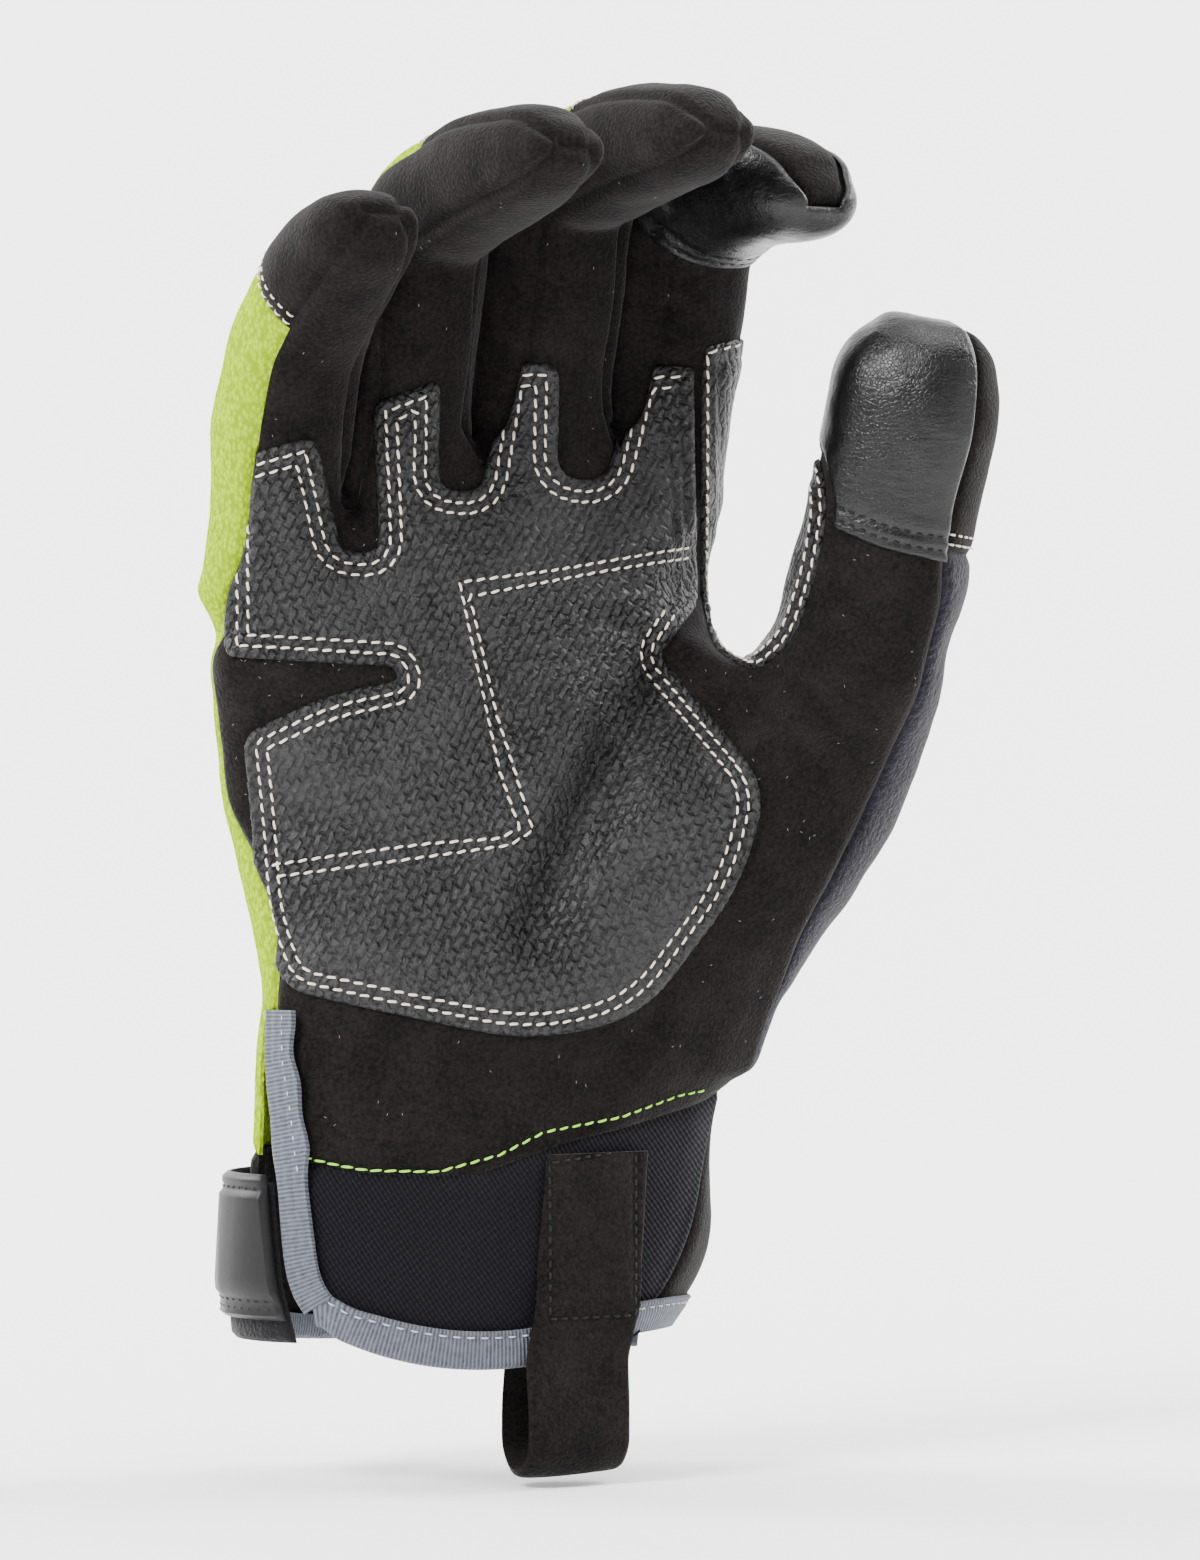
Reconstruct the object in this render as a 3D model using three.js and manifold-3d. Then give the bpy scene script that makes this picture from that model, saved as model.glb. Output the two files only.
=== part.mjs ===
// A right-hand mechanic glove, standing on nothing: it keeps the form of the hand that it was worn on.
// Millimetres and degrees. +Z runs from the cuff to the fingers, the palm looks along -Y and the thumb
// is on the +X side. The origin is the centre of the wrist opening, at the hem.
import * as THREE from 'three';
import { mergeVertices } from 'three/addons/utils/BufferGeometryUtils.js';
import Module from 'manifold-3d';

const wasm = await Module();
wasm.setup();

// Driving dimensions of the hand form.
const cuffBreadth = 91;
const cuffDepth = 46;
const cuffHeight = 38;
const baseBreadth = 128;
const palmDepth = 32;
const webHeight = 124;
const palmBreadth = 101;
const palmYaw = 25;
const fingerYaw = 32;
const fingerBreadth = 23.5;
const fingerDepth = 23;
const thumbLength = 60;
const thumbBreadth = 31;
const thumbDepth = 27;

// Driving dimensions of the cloth and the trimmings.
const seamGap = 0.3;
const crotchGap = 1.2;
const suedeWall = 1.2;
const stretchWall = 1.5;
const terryWall = 2;
const knitWall = 2;
const patchThickness = 1.2;
const patchGap = 0.45;
const leatherThickness = 1;
const bindingThickness = 1;
const bindingHeight = 5.5;
const bindingGap = 0.48;
const slitBindingWidth = 5.5;
const loopWidth = 21;
const loopThickness = 1.3;
const loopDrop = 19.5;
const strapWidth = 28;
const strapThickness = 1.2;
const tabThickness = 1.6;
const padThickness = 1.2;

// How finely the form is faceted: quads across a finger's front, across a side and across the thumb's front.
const frontQuads = 4;
const sideQuads = 3;
const thumbQuads = 5;

const fingers = ['pinky', 'ring', 'middle', 'index'];
const palmQuads = frontQuads * fingers.length;

// Rings of the hand below the thumb web. height is a share of webHeight; spread goes from the cuff's
// breadth, 0, to that of the thumb base, 1; shift moves the ring towards the thumb by a share of half the
// difference of those breadths; flat goes from the cuff's depth to the palm's; yaw is a share of palmYaw;
// palmShare is the part of the front that belongs to the palm; ulnar, ulnarBack and radial are seam angles.
const bodyRings = [
  {
    height: 0.0, spread: -0.28, shift: 0.02, flat: 0.0, yaw: 1.0,
    palmShare: 0.78, ulnar: 33, ulnarBack: -10, radial: 56,
  },
  {
    height: 0.113, spread: -0.08, shift: 0.14, flat: 0.05, yaw: 1.0,
    palmShare: 0.78, ulnar: 26, ulnarBack: -8, radial: 46,
  },
  {
    height: 0.306, spread: -0.04, shift: 0.24, flat: 0.12, yaw: 1.0,
    palmShare: 0.77, ulnar: 16, ulnarBack: -6, radial: 20,
  },
  {
    height: 0.4, spread: 0.06, shift: 0.39, flat: 0.2, yaw: 0.9,
    palmShare: 0.76, ulnar: 11, ulnarBack: -6, radial: 22,
  },
  {
    height: 0.5, spread: 0.18, shift: 0.58, flat: 0.3, yaw: 0.8,
    palmShare: 0.75, ulnar: 9, ulnarBack: -5, radial: 25,
  },
  {
    height: 0.6, spread: 0.39, shift: 0.76, flat: 0.42, yaw: 0.65,
    palmShare: 0.74, ulnar: 17, ulnarBack: -25, radial: 32,
  },
  {
    height: 0.7, spread: 0.67, shift: 0.9, flat: 0.54, yaw: 0.5,
    palmShare: 0.73, ulnar: 18, ulnarBack: -40, radial: 33,
  },
  {
    height: 0.8, spread: 0.92, shift: 1.0, flat: 0.66, yaw: 0.42,
    palmShare: 0.72, ulnar: 6, ulnarBack: -45, radial: 33,
  },
];

// Where the palm's seam runs across the front of the cuff ring, as shares of cuffHeight.
const cuffSeamLift = [
  { across: 0.0, lift: -0.05 },
  { across: 0.2, lift: -0.12 },
  { across: 0.38, lift: -0.13 },
  { across: 0.55, lift: 0.0 },
  { across: 0.75, lift: 0.1 },
  { across: 1.0, lift: 0.21 },
];

// The four fingers. base is the knuckle's place along the yawed palm, as a share of palmBreadth; palm,
// first, second and tip are the lengths of the spine's stretches, each with its bend from upright.
const fingerSizes = {
  pinky: { base: -0.385, palm: 23, first: 27, second: 18, tip: 19, breadth: 1.0, depth: 0.98 },
  ring: { base: -0.15, palm: 33, first: 37.5, second: 30, tip: 22, breadth: 1.0, depth: 1.0 },
  middle: { base: 0.118, palm: 38, first: 40, second: 29, tip: 24, breadth: 1.0, depth: 1.0 },
  index: { base: 0.372, palm: 41, first: 32.5, second: 22, tip: 21, breadth: 1.0, depth: 1.0 },
};
const fingerBends = {
  pinky: { palm: 5, first: 20, second: 50, tip: 66 },
  ring: { palm: 5, first: 13, second: 76, tip: 88 },
  middle: { palm: 5, first: 14, second: 80, tip: 92 },
  index: { palm: 5, first: 17, second: 76, tip: 110 },
};
const knuckleRise = 8;
const knuckleHeight = webHeight + knuckleRise;
const bendBlend = 6;

// Heights of the finger crotches above the knuckle line, from the outer edge of the pinky to the index.
const crotchHeights = [13, 15.5, 26.5, 29, 27];

// Rings of a finger between its crotch and its tip, as shares of what is left of the spine and of the
// finger's breadth and depth.
const fingerRings = [
  { along: 0.1, breadth: 1.0, depth: 1.0 },
  { along: 0.24, breadth: 1.0, depth: 1.0 },
  { along: 0.38, breadth: 0.985, depth: 0.98 },
  { along: 0.5, breadth: 0.97, depth: 0.97 },
  { along: 0.62, breadth: 0.95, depth: 0.95 },
  { along: 0.73, breadth: 0.93, depth: 0.92 },
];
const tipRings = [0.55, 0.8, 0.94, 1];
const tipSeamBreadth = 0.42;

// Rings of the thumb from the web to the start of its tip, as shares of thumbLength, of half its breadth
// and depth, and for the shifts of its breadth.
const thumbRings = [
  { along: 0.14, side: 0.13, fore: 0.03, breadth: 1.08, depth: 1.08, yaw: -8 },
  { along: 0.24, side: 0.165, fore: 0.08, breadth: 1.0, depth: 1.02, yaw: -11 },
  { along: 0.35, side: 0.2, fore: 0.14, breadth: 0.96, depth: 0.99, yaw: -13 },
  { along: 0.5, side: 0.255, fore: 0.21, breadth: 0.95, depth: 0.98, yaw: -15 },
  { along: 0.65, side: 0.32, fore: 0.27, breadth: 0.96, depth: 0.96, yaw: -15 },
  { along: 0.77, side: 0.36, fore: 0.31, breadth: 0.96, depth: 0.93, yaw: -15 },
];
const thumbTop = { side: 0.39, fore: 0.36, yaw: -15 };
const thumbTilt = 10;

// Soft valleys pressed into the palm side, between two places seen from the palm. across is a share of
// palmBreadth and height of webHeight.
const folds = [
  { acrossFrom: 0.31, heightFrom: 0.94, acrossTo: 0.135, heightTo: 0.61, width: 11, depth: 2.6 },
  { acrossFrom: 0.53, heightFrom: 0.95, acrossTo: 0.65, heightTo: 0.89, width: 8, depth: 1.6 },
];

const radians = THREE.MathUtils.degToRad;
const lerp = THREE.MathUtils.lerp;
const clamp = THREE.MathUtils.clamp;
const up = new THREE.Vector3(0, 0, 1);
const vec = (x, y, z) => new THREE.Vector3(x, y, z);

// Value at share x of a table whose rows hold the named columns, joined by straight lines.
function fromTable(rows, key, column, x) {
  if (x <= rows[0][key]) return rows[0][column];
  for (let i = 1; i < rows.length; i++) {
    if (x <= rows[i][key]) {
      const span = rows[i][key] - rows[i - 1][key];
      return lerp(rows[i - 1][column], rows[i][column], (x - rows[i - 1][key]) / span);
    }
  }
  return rows[rows.length - 1][column];
}

// The point of a flattened ring at an angle: 0 is the little finger side, 90 the palm, 180 the thumb side.
function ringPoint(ring, angle) {
  const a = radians(angle);
  const power = 2 / (ring.power ?? 2.3);
  const round = (v) => Math.sign(v) * Math.abs(v) ** power;
  return ring.centre.clone()
    .addScaledVector(ring.across, -ring.halfBreadth * round(Math.cos(a)))
    .addScaledVector(ring.palmar, ring.halfDepth * round(Math.sin(a)));
}

// Points at the given shares of the arc of a ring between two angles, by length along it.
function arcPoints(ring, from, to, shares) {
  const steps = 48;
  const points = [];
  const lengths = [0];
  for (let i = 0; i <= steps; i++) {
    points.push(ringPoint(ring, lerp(from, to, i / steps)));
    if (i > 0) lengths.push(lengths[i - 1] + points[i].distanceTo(points[i - 1]));
  }
  return shares.map((share) => {
    const target = share * lengths[steps];
    let i = 1;
    while (i < steps && lengths[i] < target) i++;
    const t = (target - lengths[i - 1]) / (lengths[i] - lengths[i - 1]);
    return points[i - 1].clone().lerp(points[i], t);
  });
}

const evenShares = (count) => Array.from({ length: count + 1 }, (_, i) => i / count);

// A ring as four strips of points: front and back run towards the thumb, radial and ulnar from front to
// back. Neighbouring strips share their end points.
function stripRing(ring, frontShares) {
  const ulnar = ring.ulnar ?? 45;
  const radial = ring.radial ?? 45;
  const ulnarBack = ring.ulnarBack ?? -45;
  const radialBack = ring.radialBack ?? 45;
  const sides = evenShares(sideQuads);
  return {
    front: arcPoints(ring, ulnar, 180 - radial, frontShares),
    radial: arcPoints(ring, 180 - radial, 180 + radialBack, sides),
    back: arcPoints(ring, 360 + ulnarBack, 180 + radialBack, frontShares),
    ulnar: arcPoints(ring, ulnar, ulnarBack, sides),
  };
}

const frontShares = (palmShare) => [
  ...evenShares(palmQuads).map((s) => s * palmShare),
  ...evenShares(thumbQuads).slice(1).map((s) => palmShare + s * (1 - palmShare)),
];

const palmAcross = (yaw) => vec(Math.cos(radians(yaw)), Math.sin(radians(yaw)), 0);
const palmPalmar = (yaw) => vec(Math.sin(radians(yaw)), -Math.cos(radians(yaw)), 0);

// Raises the points of a strip ring; lift gets the share across and the strip's name.
function liftRing(strips, lift) {
  const lifted = new Set();
  for (const [name, points] of Object.entries(strips)) {
    points.forEach((p, i) => {
      if (!lifted.has(p)) p.z += lift(i / (points.length - 1), name);
      lifted.add(p);
    });
  }
  return strips;
}

function bodyRing(row) {
  const reach = (baseBreadth - cuffBreadth) / 2;
  const yaw = row.yaw * palmYaw;
  return stripRing({
    centre: vec(row.shift * reach, 0, row.height * webHeight),
    across: palmAcross(yaw),
    palmar: palmPalmar(yaw),
    halfBreadth: lerp(cuffBreadth, baseBreadth, row.spread) / 2,
    halfDepth: lerp(cuffDepth, palmDepth, row.flat) / 2,
    ulnar: row.ulnar,
    ulnarBack: row.ulnarBack,
    radial: row.radial,
    radialBack: 45,
  }, frontShares(row.palmShare));
}

// The hem waves: it dips on the palm, and rises at both sides and most at the slit.
const hemRise = 5;
const slitRise = 8;
function hemLift(share, strip) {
  const arch = Math.sin(Math.PI * share);
  if (strip === 'front') return lerp(slitRise, hemRise, share) * (1 - arch ** 0.8);
  return strip === 'back' ? hemRise * (1 - 0.5 * arch) : hemRise;
}

function cuffSeamLiftAt(share, strip) {
  const first = cuffSeamLift[0].lift;
  const last = cuffSeamLift[cuffSeamLift.length - 1].lift;
  if (strip === 'front') return cuffHeight * fromTable(cuffSeamLift, 'across', 'lift', share);
  if (strip === 'back') return cuffHeight * lerp(first, last, share);
  return cuffHeight * (strip === 'radial' ? last : first);
}

// The spine of a finger: a plane curve whose bend passes smoothly from one stretch to the next.
class FingerSpine {
  constructor(name) {
    const size = fingerSizes[name];
    this.size = size;
    this.bends = fingerBends[name];
    this.yaw = fingerYaw;
    this.base = palmAcross(palmYaw).multiplyScalar(size.base * palmBreadth);
    this.base.z = knuckleHeight;
    this.length = size.palm + size.first + size.second + size.tip;
    this.points = [this.base.clone()];
    this.step = 0.5;
    for (let s = 0; s < this.length; s += this.step) {
      const last = this.points[this.points.length - 1];
      this.points.push(last.clone().addScaledVector(this.tangent(s + this.step / 2), this.step));
    }
  }

  bend(s) {
    const samples = 9;
    let sum = 0;
    for (let i = 0; i < samples; i++) {
      const at = s + bendBlend * (2 * i / (samples - 1) - 1);
      sum += this.plainBend(at);
    }
    return radians(sum / samples);
  }

  plainBend(s) {
    const { palm, first, second } = this.size;
    if (s < palm) return this.bends.palm;
    if (s < palm + first) return this.bends.first;
    return s < palm + first + second ? this.bends.second : this.bends.tip;
  }

  tangent(s) {
    const bend = this.bend(s);
    return palmPalmar(this.yaw).multiplyScalar(Math.sin(bend)).addScaledVector(up, Math.cos(bend));
  }

  // A ring of the finger at length s, with its breadth and depth as shares of the finger's.
  ring(s, breadth, depth) {
    const index = clamp(s / this.step, 0, this.points.length - 1.001);
    const low = Math.floor(index);
    const bend = this.bend(s);
    return {
      centre: this.points[low].clone().lerp(this.points[low + 1], index - low),
      across: palmAcross(this.yaw),
      palmar: palmPalmar(this.yaw).multiplyScalar(Math.cos(bend)).addScaledVector(up, -Math.sin(bend)),
      halfBreadth: breadth * this.size.breadth * fingerBreadth / 2,
      halfDepth: depth * this.size.depth * fingerDepth / 2,
    };
  }
}

const spines = Object.fromEntries(fingers.map((name) => [name, new FingerSpine(name)]));

// The net keeps one point for each corner of the form, and quads with a tube's name, a row and a place
// in the strip, from which the sewn pieces are picked.
class Net {
  constructor() {
    this.points = [];
    this.quads = [];
  }

  add(point) {
    this.points.push(point);
    return this.points.length - 1;
  }

  addStrips(strips) {
    const ids = {};
    ids.front = strips.front.map((p) => this.add(p));
    ids.back = strips.back.map((p) => this.add(p));
    ids.radial = this.side(strips.radial, ids.front[ids.front.length - 1], ids.back[ids.back.length - 1]);
    ids.ulnar = this.side(strips.ulnar, ids.front[0], ids.back[0]);
    return ids;
  }

  side(points, first, last) {
    return points.map((p, i) => {
      if (i === 0) return first;
      return i === points.length - 1 ? last : this.add(p);
    });
  }

  // Joins two rings of point numbers. Quads face outwards.
  join(tube, row, low, high) {
    const outward = { front: 1, back: -1, radial: 1, ulnar: -1 };
    for (const strip of Object.keys(outward)) {
      for (let i = 0; i + 1 < low[strip].length; i++) {
        const corners = [low[strip][i], low[strip][i + 1], high[strip][i + 1], high[strip][i]];
        if (outward[strip] < 0) corners.reverse();
        this.quads.push({ tube, row, strip, place: i, corners });
      }
    }
  }

  // Pulls marked points towards the mean of their neighbours.
  relax(marked, rounds, pull) {
    const near = this.points.map(() => new Set());
    for (const { corners } of this.quads) {
      corners.forEach((id, i) => {
        near[id].add(corners[(i + 1) % 4]);
        near[id].add(corners[(i + 3) % 4]);
      });
    }
    near.forEach((set, id) => set.delete(id));
    for (let round = 0; round < rounds; round++) {
      const moved = [...marked].map((id) => {
        const mean = vec(0, 0, 0);
        near[id].forEach((other) => mean.add(this.points[other]));
        return this.points[id].clone().lerp(mean.divideScalar(near[id].size), pull);
      });
      [...marked].forEach((id, i) => this.points[id].copy(moved[i]));
    }
  }

  normals() {
    const normals = this.points.map(() => vec(0, 0, 0));
    for (const { corners } of this.quads) {
      const [a, b, c, d] = corners.map((id) => this.points[id]);
      const normal = c.clone().sub(a).cross(d.clone().sub(b));
      corners.forEach((id) => normals[id].add(normal));
    }
    return normals.map((n) => n.normalize());
  }
}

// Rings between the given ones, on a smooth curve through each point of them. counts says how many rows
// lead from each ring to the next.
function blendRings(rings, counts) {
  const result = [];
  const at = (i) => rings[clamp(i, 0, rings.length - 1)];
  for (let i = 0; i + 1 < rings.length; i++) {
    for (let k = 0; k < counts[i]; k++) {
      const t = k / counts[i];
      const ring = {};
      for (const strip of ['front', 'radial', 'back', 'ulnar']) {
        ring[strip] = rings[i][strip].map((p, j) => {
          const [p0, p1, p2, p3] = [at(i - 1), at(i), at(i + 1), at(i + 2)].map((r) => r[strip][j]);
          return smoothBetween(p0, p1, p2, p3, t);
        });
      }
      result.push(ring);
    }
  }
  result.push(rings[rings.length - 1]);
  return result;
}

function smoothBetween(p0, p1, p2, p3, t) {
  const weights = [
    -0.5 * t + t * t - 0.5 * t ** 3,
    1 - 2.5 * t * t + 1.5 * t ** 3,
    0.5 * t + 2 * t * t - 1.5 * t ** 3,
    -0.5 * t * t + 0.5 * t ** 3,
  ];
  const sum = vec(0, 0, 0);
  [p0, p1, p2, p3].forEach((p, i) => sum.addScaledVector(p, weights[i]));
  return sum;
}

const middle = (p, q) => p.clone().add(q).multiplyScalar(0.5);

// The strip of points over a crotch, from its front end to its back end, arched upwards.
function archStrip(front, back, rise) {
  return evenShares(sideQuads).map((t) => {
    const point = front.clone().lerp(back, t);
    point.z += rise * Math.sin(Math.PI * t);
    return point;
  });
}

// The ring of the palm at the finger crotches, put together from the four fingers' own rings.
function crotchRing() {
  const parts = fingers.map((name, i) => {
    const spine = spines[name];
    const low = crotchHeights[i];
    const high = crotchHeights[i + 1];
    const level = (low + high) / 2;
    const strips = stripRing(spine.ring(level, 1.0, 1.04), evenShares(frontQuads));
    return liftRing(strips, (share, strip) => {
      if (strip === 'ulnar') return low - level;
      if (strip === 'radial') return high - level;
      return lerp(low, high, share) - level;
    });
  });
  const ring = { front: [], back: [], ulnar: parts[0].ulnar, radial: parts[fingers.length - 1].radial };
  for (const strip of ['front', 'back']) {
    parts.forEach((part, i) => {
      const points = part[strip];
      if (i > 0) {
        const shared = middle(ring[strip].pop(), points[0]);
        ring[strip].push(shared);
      } else {
        ring[strip].push(points[0]);
      }
      ring[strip].push(...points.slice(1));
    });
  }
  return ring;
}

// The rings where the hand parts into palm and thumb.
const webRise = 1;
const webDip = 7;
const webShift = 5;
const palmWebRing = stripRing({
  centre: vec(2, 0, webHeight),
  across: palmAcross(palmYaw),
  palmar: palmPalmar(palmYaw),
  halfBreadth: palmBreadth / 2,
  halfDepth: palmDepth / 2,
  ulnar: -6,
  ulnarBack: -45,
}, evenShares(palmQuads));
const thumbRoot = vec(0.543 * baseBreadth, -2, webHeight);
const thumbWebRing = stripRing({
  centre: thumbRoot,
  across: palmAcross(-6),
  palmar: palmPalmar(-6),
  halfBreadth: 1.16 * thumbBreadth / 2,
  halfDepth: 1.14 * thumbDepth / 2,
  radial: 30,
}, evenShares(thumbQuads));
const webFront = middle(palmWebRing.front[palmQuads], thumbWebRing.front[0]).add(vec(webShift, 0, -webDip));
const webBack = middle(palmWebRing.back[palmQuads], thumbWebRing.back[0]).add(vec(webShift, 0, -webDip));
for (const strip of ['front', 'back']) {
  palmWebRing[strip][palmQuads - 1].z -= 0.4 * webDip;
  thumbWebRing[strip][1].z -= 0.5 * webDip;
}
const webArch = archStrip(webFront, webBack, webRise);

const handWebRing = {
  front: [...palmWebRing.front.slice(0, -1), webFront, ...thumbWebRing.front.slice(1)],
  back: [...palmWebRing.back.slice(0, -1), webBack, ...thumbWebRing.back.slice(1)],
  radial: thumbWebRing.radial,
  ulnar: palmWebRing.ulnar,
};
const palmUpperRing = stripRing({
  centre: vec(-1.6, 0, knuckleHeight + 3),
  across: palmAcross(palmYaw),
  palmar: palmPalmar(palmYaw),
  halfBreadth: 0.485 * palmBreadth,
  halfDepth: palmDepth / 2,
  ulnar: 20,
  ulnarBack: -45,
}, evenShares(palmQuads));

const net = new Net();
const junctions = new Set();
const mark = (ids) => Object.values(ids).flat().forEach((id) => junctions.add(id));

// Below the web.
const bodyControls = bodyRings.map(bodyRing);
liftRing(bodyControls[0], hemLift);
liftRing(bodyControls[2], cuffSeamLiftAt);
const bodyCounts = [1, 2, 1, 2, 2, 2, 2, 3];
const bodyRows = blendRings([...bodyControls, handWebRing], bodyCounts).map((ring) => net.addStrips(ring));
const cuffSeamRow = bodyCounts[0] + bodyCounts[1];
const slitTopRow = cuffSeamRow + bodyCounts[2] + bodyCounts[3];
for (let row = 0; row + 1 < bodyRows.length; row++) net.join('hand', row, bodyRows[row], bodyRows[row + 1]);

// From the web to the crotches. The web arch is shared by the palm and the thumb.
const webIds = bodyRows[bodyRows.length - 1];
const archIds = net.side(webArch, webIds.front[palmQuads], webIds.back[palmQuads]);
const palmWebIds = {
  front: webIds.front.slice(0, palmQuads + 1),
  back: webIds.back.slice(0, palmQuads + 1),
  ulnar: webIds.ulnar,
  radial: archIds,
};
const thumbWebIds = {
  front: webIds.front.slice(palmQuads),
  back: webIds.back.slice(palmQuads),
  ulnar: archIds,
  radial: webIds.radial,
};
const palmStart = {
  front: palmWebIds.front.map((id) => net.points[id].clone()),
  back: palmWebIds.back.map((id) => net.points[id].clone()),
  ulnar: palmWebIds.ulnar.map((id) => net.points[id].clone()),
  radial: webArch,
};
const palmCounts = [2, 3];
const palmRows = blendRings([palmStart, palmUpperRing, crotchRing()], palmCounts)
  .map((ring, i) => (i === 0 ? palmWebIds : net.addStrips(ring)));
for (let row = 0; row + 1 < palmRows.length; row++) net.join('palm', row, palmRows[row], palmRows[row + 1]);

// A tube's last ring is drawn flat into a seam across the tip: its front and back become one line.
function seamRing(ring, front) {
  const ids = { front: front.map((p) => net.add(p)) };
  ids.back = ids.front;
  ids.radial = evenShares(sideQuads).map(() => ids.front[ids.front.length - 1]);
  ids.ulnar = evenShares(sideQuads).map(() => ids.front[0]);
  return ids;
}

function tipScale(share) {
  return Math.sqrt(Math.max(0, 1 - share * share));
}

// The free rings of a finger, with the last one flat.
function fingerRows(name, level) {
  const spine = spines[name];
  const size = spine.size;
  const last = fingerRings[fingerRings.length - 1];
  const left = spine.length - level;
  const rows = fingerRings.map((r) => {
    return net.addStrips(stripRing(spine.ring(level + r.along * left, r.breadth, r.depth), evenShares(frontQuads)));
  });
  const domeStart = level + last.along * left;
  const dome = spine.length - domeStart;
  for (const share of tipRings) {
    const full = tipScale(share);
    const breadth = last.breadth * lerp(tipSeamBreadth, 1, full);
    const ring = spine.ring(domeStart + share * dome, breadth, last.depth * full * size.depth);
    if (share < 1) rows.push(net.addStrips(stripRing(ring, evenShares(frontQuads))));
    else rows.push(seamRing(ring, stripRing({ ...ring, halfDepth: 0 }, evenShares(frontQuads)).front));
  }
  return rows;
}

const palmTop = palmRows[palmRows.length - 1];
const crotchArches = fingers.map((name, i) => {
  if (i === 0) return palmTop.ulnar;
  const front = palmTop.front[i * frontQuads];
  const back = palmTop.back[i * frontQuads];
  const rise = 0.12 * fingerDepth;
  return net.side(archStrip(net.points[front], net.points[back], rise), front, back);
});
crotchArches.push(palmTop.radial);

fingers.forEach((name, i) => {
  const start = {
    front: palmTop.front.slice(i * frontQuads, (i + 1) * frontQuads + 1),
    back: palmTop.back.slice(i * frontQuads, (i + 1) * frontQuads + 1),
    ulnar: crotchArches[i],
    radial: crotchArches[i + 1],
  };
  const level = (crotchHeights[i] + crotchHeights[i + 1]) / 2;
  const rows = [start, ...fingerRows(name, level)];
  mark(start);
  mark(rows[1]);
  for (let row = 0; row + 1 < rows.length; row++) net.join(name, row, rows[row], rows[row + 1]);
});

// The thumb.
function thumbRing(row, z) {
  const tilt = Math.tan(radians(thumbTilt)) * clamp((z - webHeight) / (0.4 * thumbLength), 0, 1);
  return {
    centre: vec(thumbRoot.x + row.side * thumbBreadth, thumbRoot.y - row.fore * thumbBreadth, z),
    across: palmAcross(row.yaw).addScaledVector(up, -tilt).normalize(),
    radial: 36,
    palmar: palmPalmar(row.yaw),
    halfBreadth: row.breadth * thumbBreadth / 2,
    halfDepth: row.depth * thumbDepth / 2,
  };
}

const thumbRows = [thumbWebIds];
for (const row of thumbRings) {
  const ring = thumbRing(row, webHeight + row.along * thumbLength);
  thumbRows.push(net.addStrips(stripRing(ring, evenShares(thumbQuads))));
}
const thumbLast = thumbRings[thumbRings.length - 1];
for (const share of tipRings) {
  const full = tipScale(share);
  const row = {
    side: lerp(thumbLast.side, thumbTop.side, share),
    fore: lerp(thumbLast.fore, thumbTop.fore, share),
    yaw: thumbTop.yaw,
    breadth: lerp(tipSeamBreadth, 1, full),
    depth: thumbLast.depth * full,
  };
  const ring = thumbRing(row, webHeight + lerp(thumbLast.along, 1, share) * thumbLength);
  const shares = evenShares(thumbQuads);
  if (share < 1) thumbRows.push(net.addStrips(stripRing(ring, shares)));
  else thumbRows.push(seamRing(ring, stripRing({ ...ring, halfDepth: 0 }, shares).front));
}
mark(thumbWebIds);
mark(thumbRows[1]);
mark(palmRows[1]);
for (let row = 0; row + 1 < thumbRows.length; row++) net.join('thumb', row, thumbRows[row], thumbRows[row + 1]);

net.relax(junctions, 4, 0.4);

function pressFold(fold) {
  const start = vec(fold.acrossFrom * palmBreadth, 0, fold.heightFrom * webHeight);
  const end = vec(fold.acrossTo * palmBreadth, 0, fold.heightTo * webHeight);
  const line = new THREE.Line3(start, end);
  const normals = net.normals();
  net.points.forEach((point, id) => {
    if (normals[id].y > 0) return;
    const seen = vec(point.x, 0, point.z);
    const distance = line.closestPointToPoint(seen, true, vec(0, 0, 0)).distanceTo(seen);
    const share = Math.min(distance / fold.width, 1);
    point.addScaledVector(normals[id], -fold.depth * Math.cos(share * Math.PI / 2) ** 2);
  });
}

folds.forEach(pressFold);
const netNormals = net.normals();

// Which sewn piece a quad of the net belongs to.
const capRow = 5;
const thumbCapRow = 3;
function pieceOf({ tube, row, strip, place }) {
  const thumbSide = place >= palmQuads;
  if (tube === 'hand') {
    if (row < cuffSeamRow) {
      if (strip === 'front') return 'cuff_front';
      return strip === 'ulnar' ? null : 'cuff_back';
    }
    if (strip === 'ulnar') return row < slitTopRow ? null : 'back_panel';
    if (strip === 'front') return 'palm_panel';
    return strip === 'radial' || thumbSide ? 'thumb_back_panel' : 'back_panel';
  }
  if (tube === 'palm') return strip === 'front' || strip === 'radial' ? 'palm_panel' : 'back_panel';
  if (tube === 'thumb') {
    if (strip === 'front' || strip === 'ulnar') return 'palm_panel';
    return row < thumbCapRow ? 'thumb_back_panel' : 'thumb_cap';
  }
  if (strip === 'front') return 'palm_panel';
  const i = fingers.indexOf(tube);
  if (strip === 'ulnar' && i > 0) return `fourchette_${fingers[i - 1]}_${tube}`;
  if (strip === 'radial' && i + 1 < fingers.length) return `fourchette_${tube}_${fingers[i + 1]}`;
  if (strip === 'radial') return 'palm_panel';
  return row < capRow ? 'back_panel' : `finger_cap_${tube}`;
}

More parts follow.
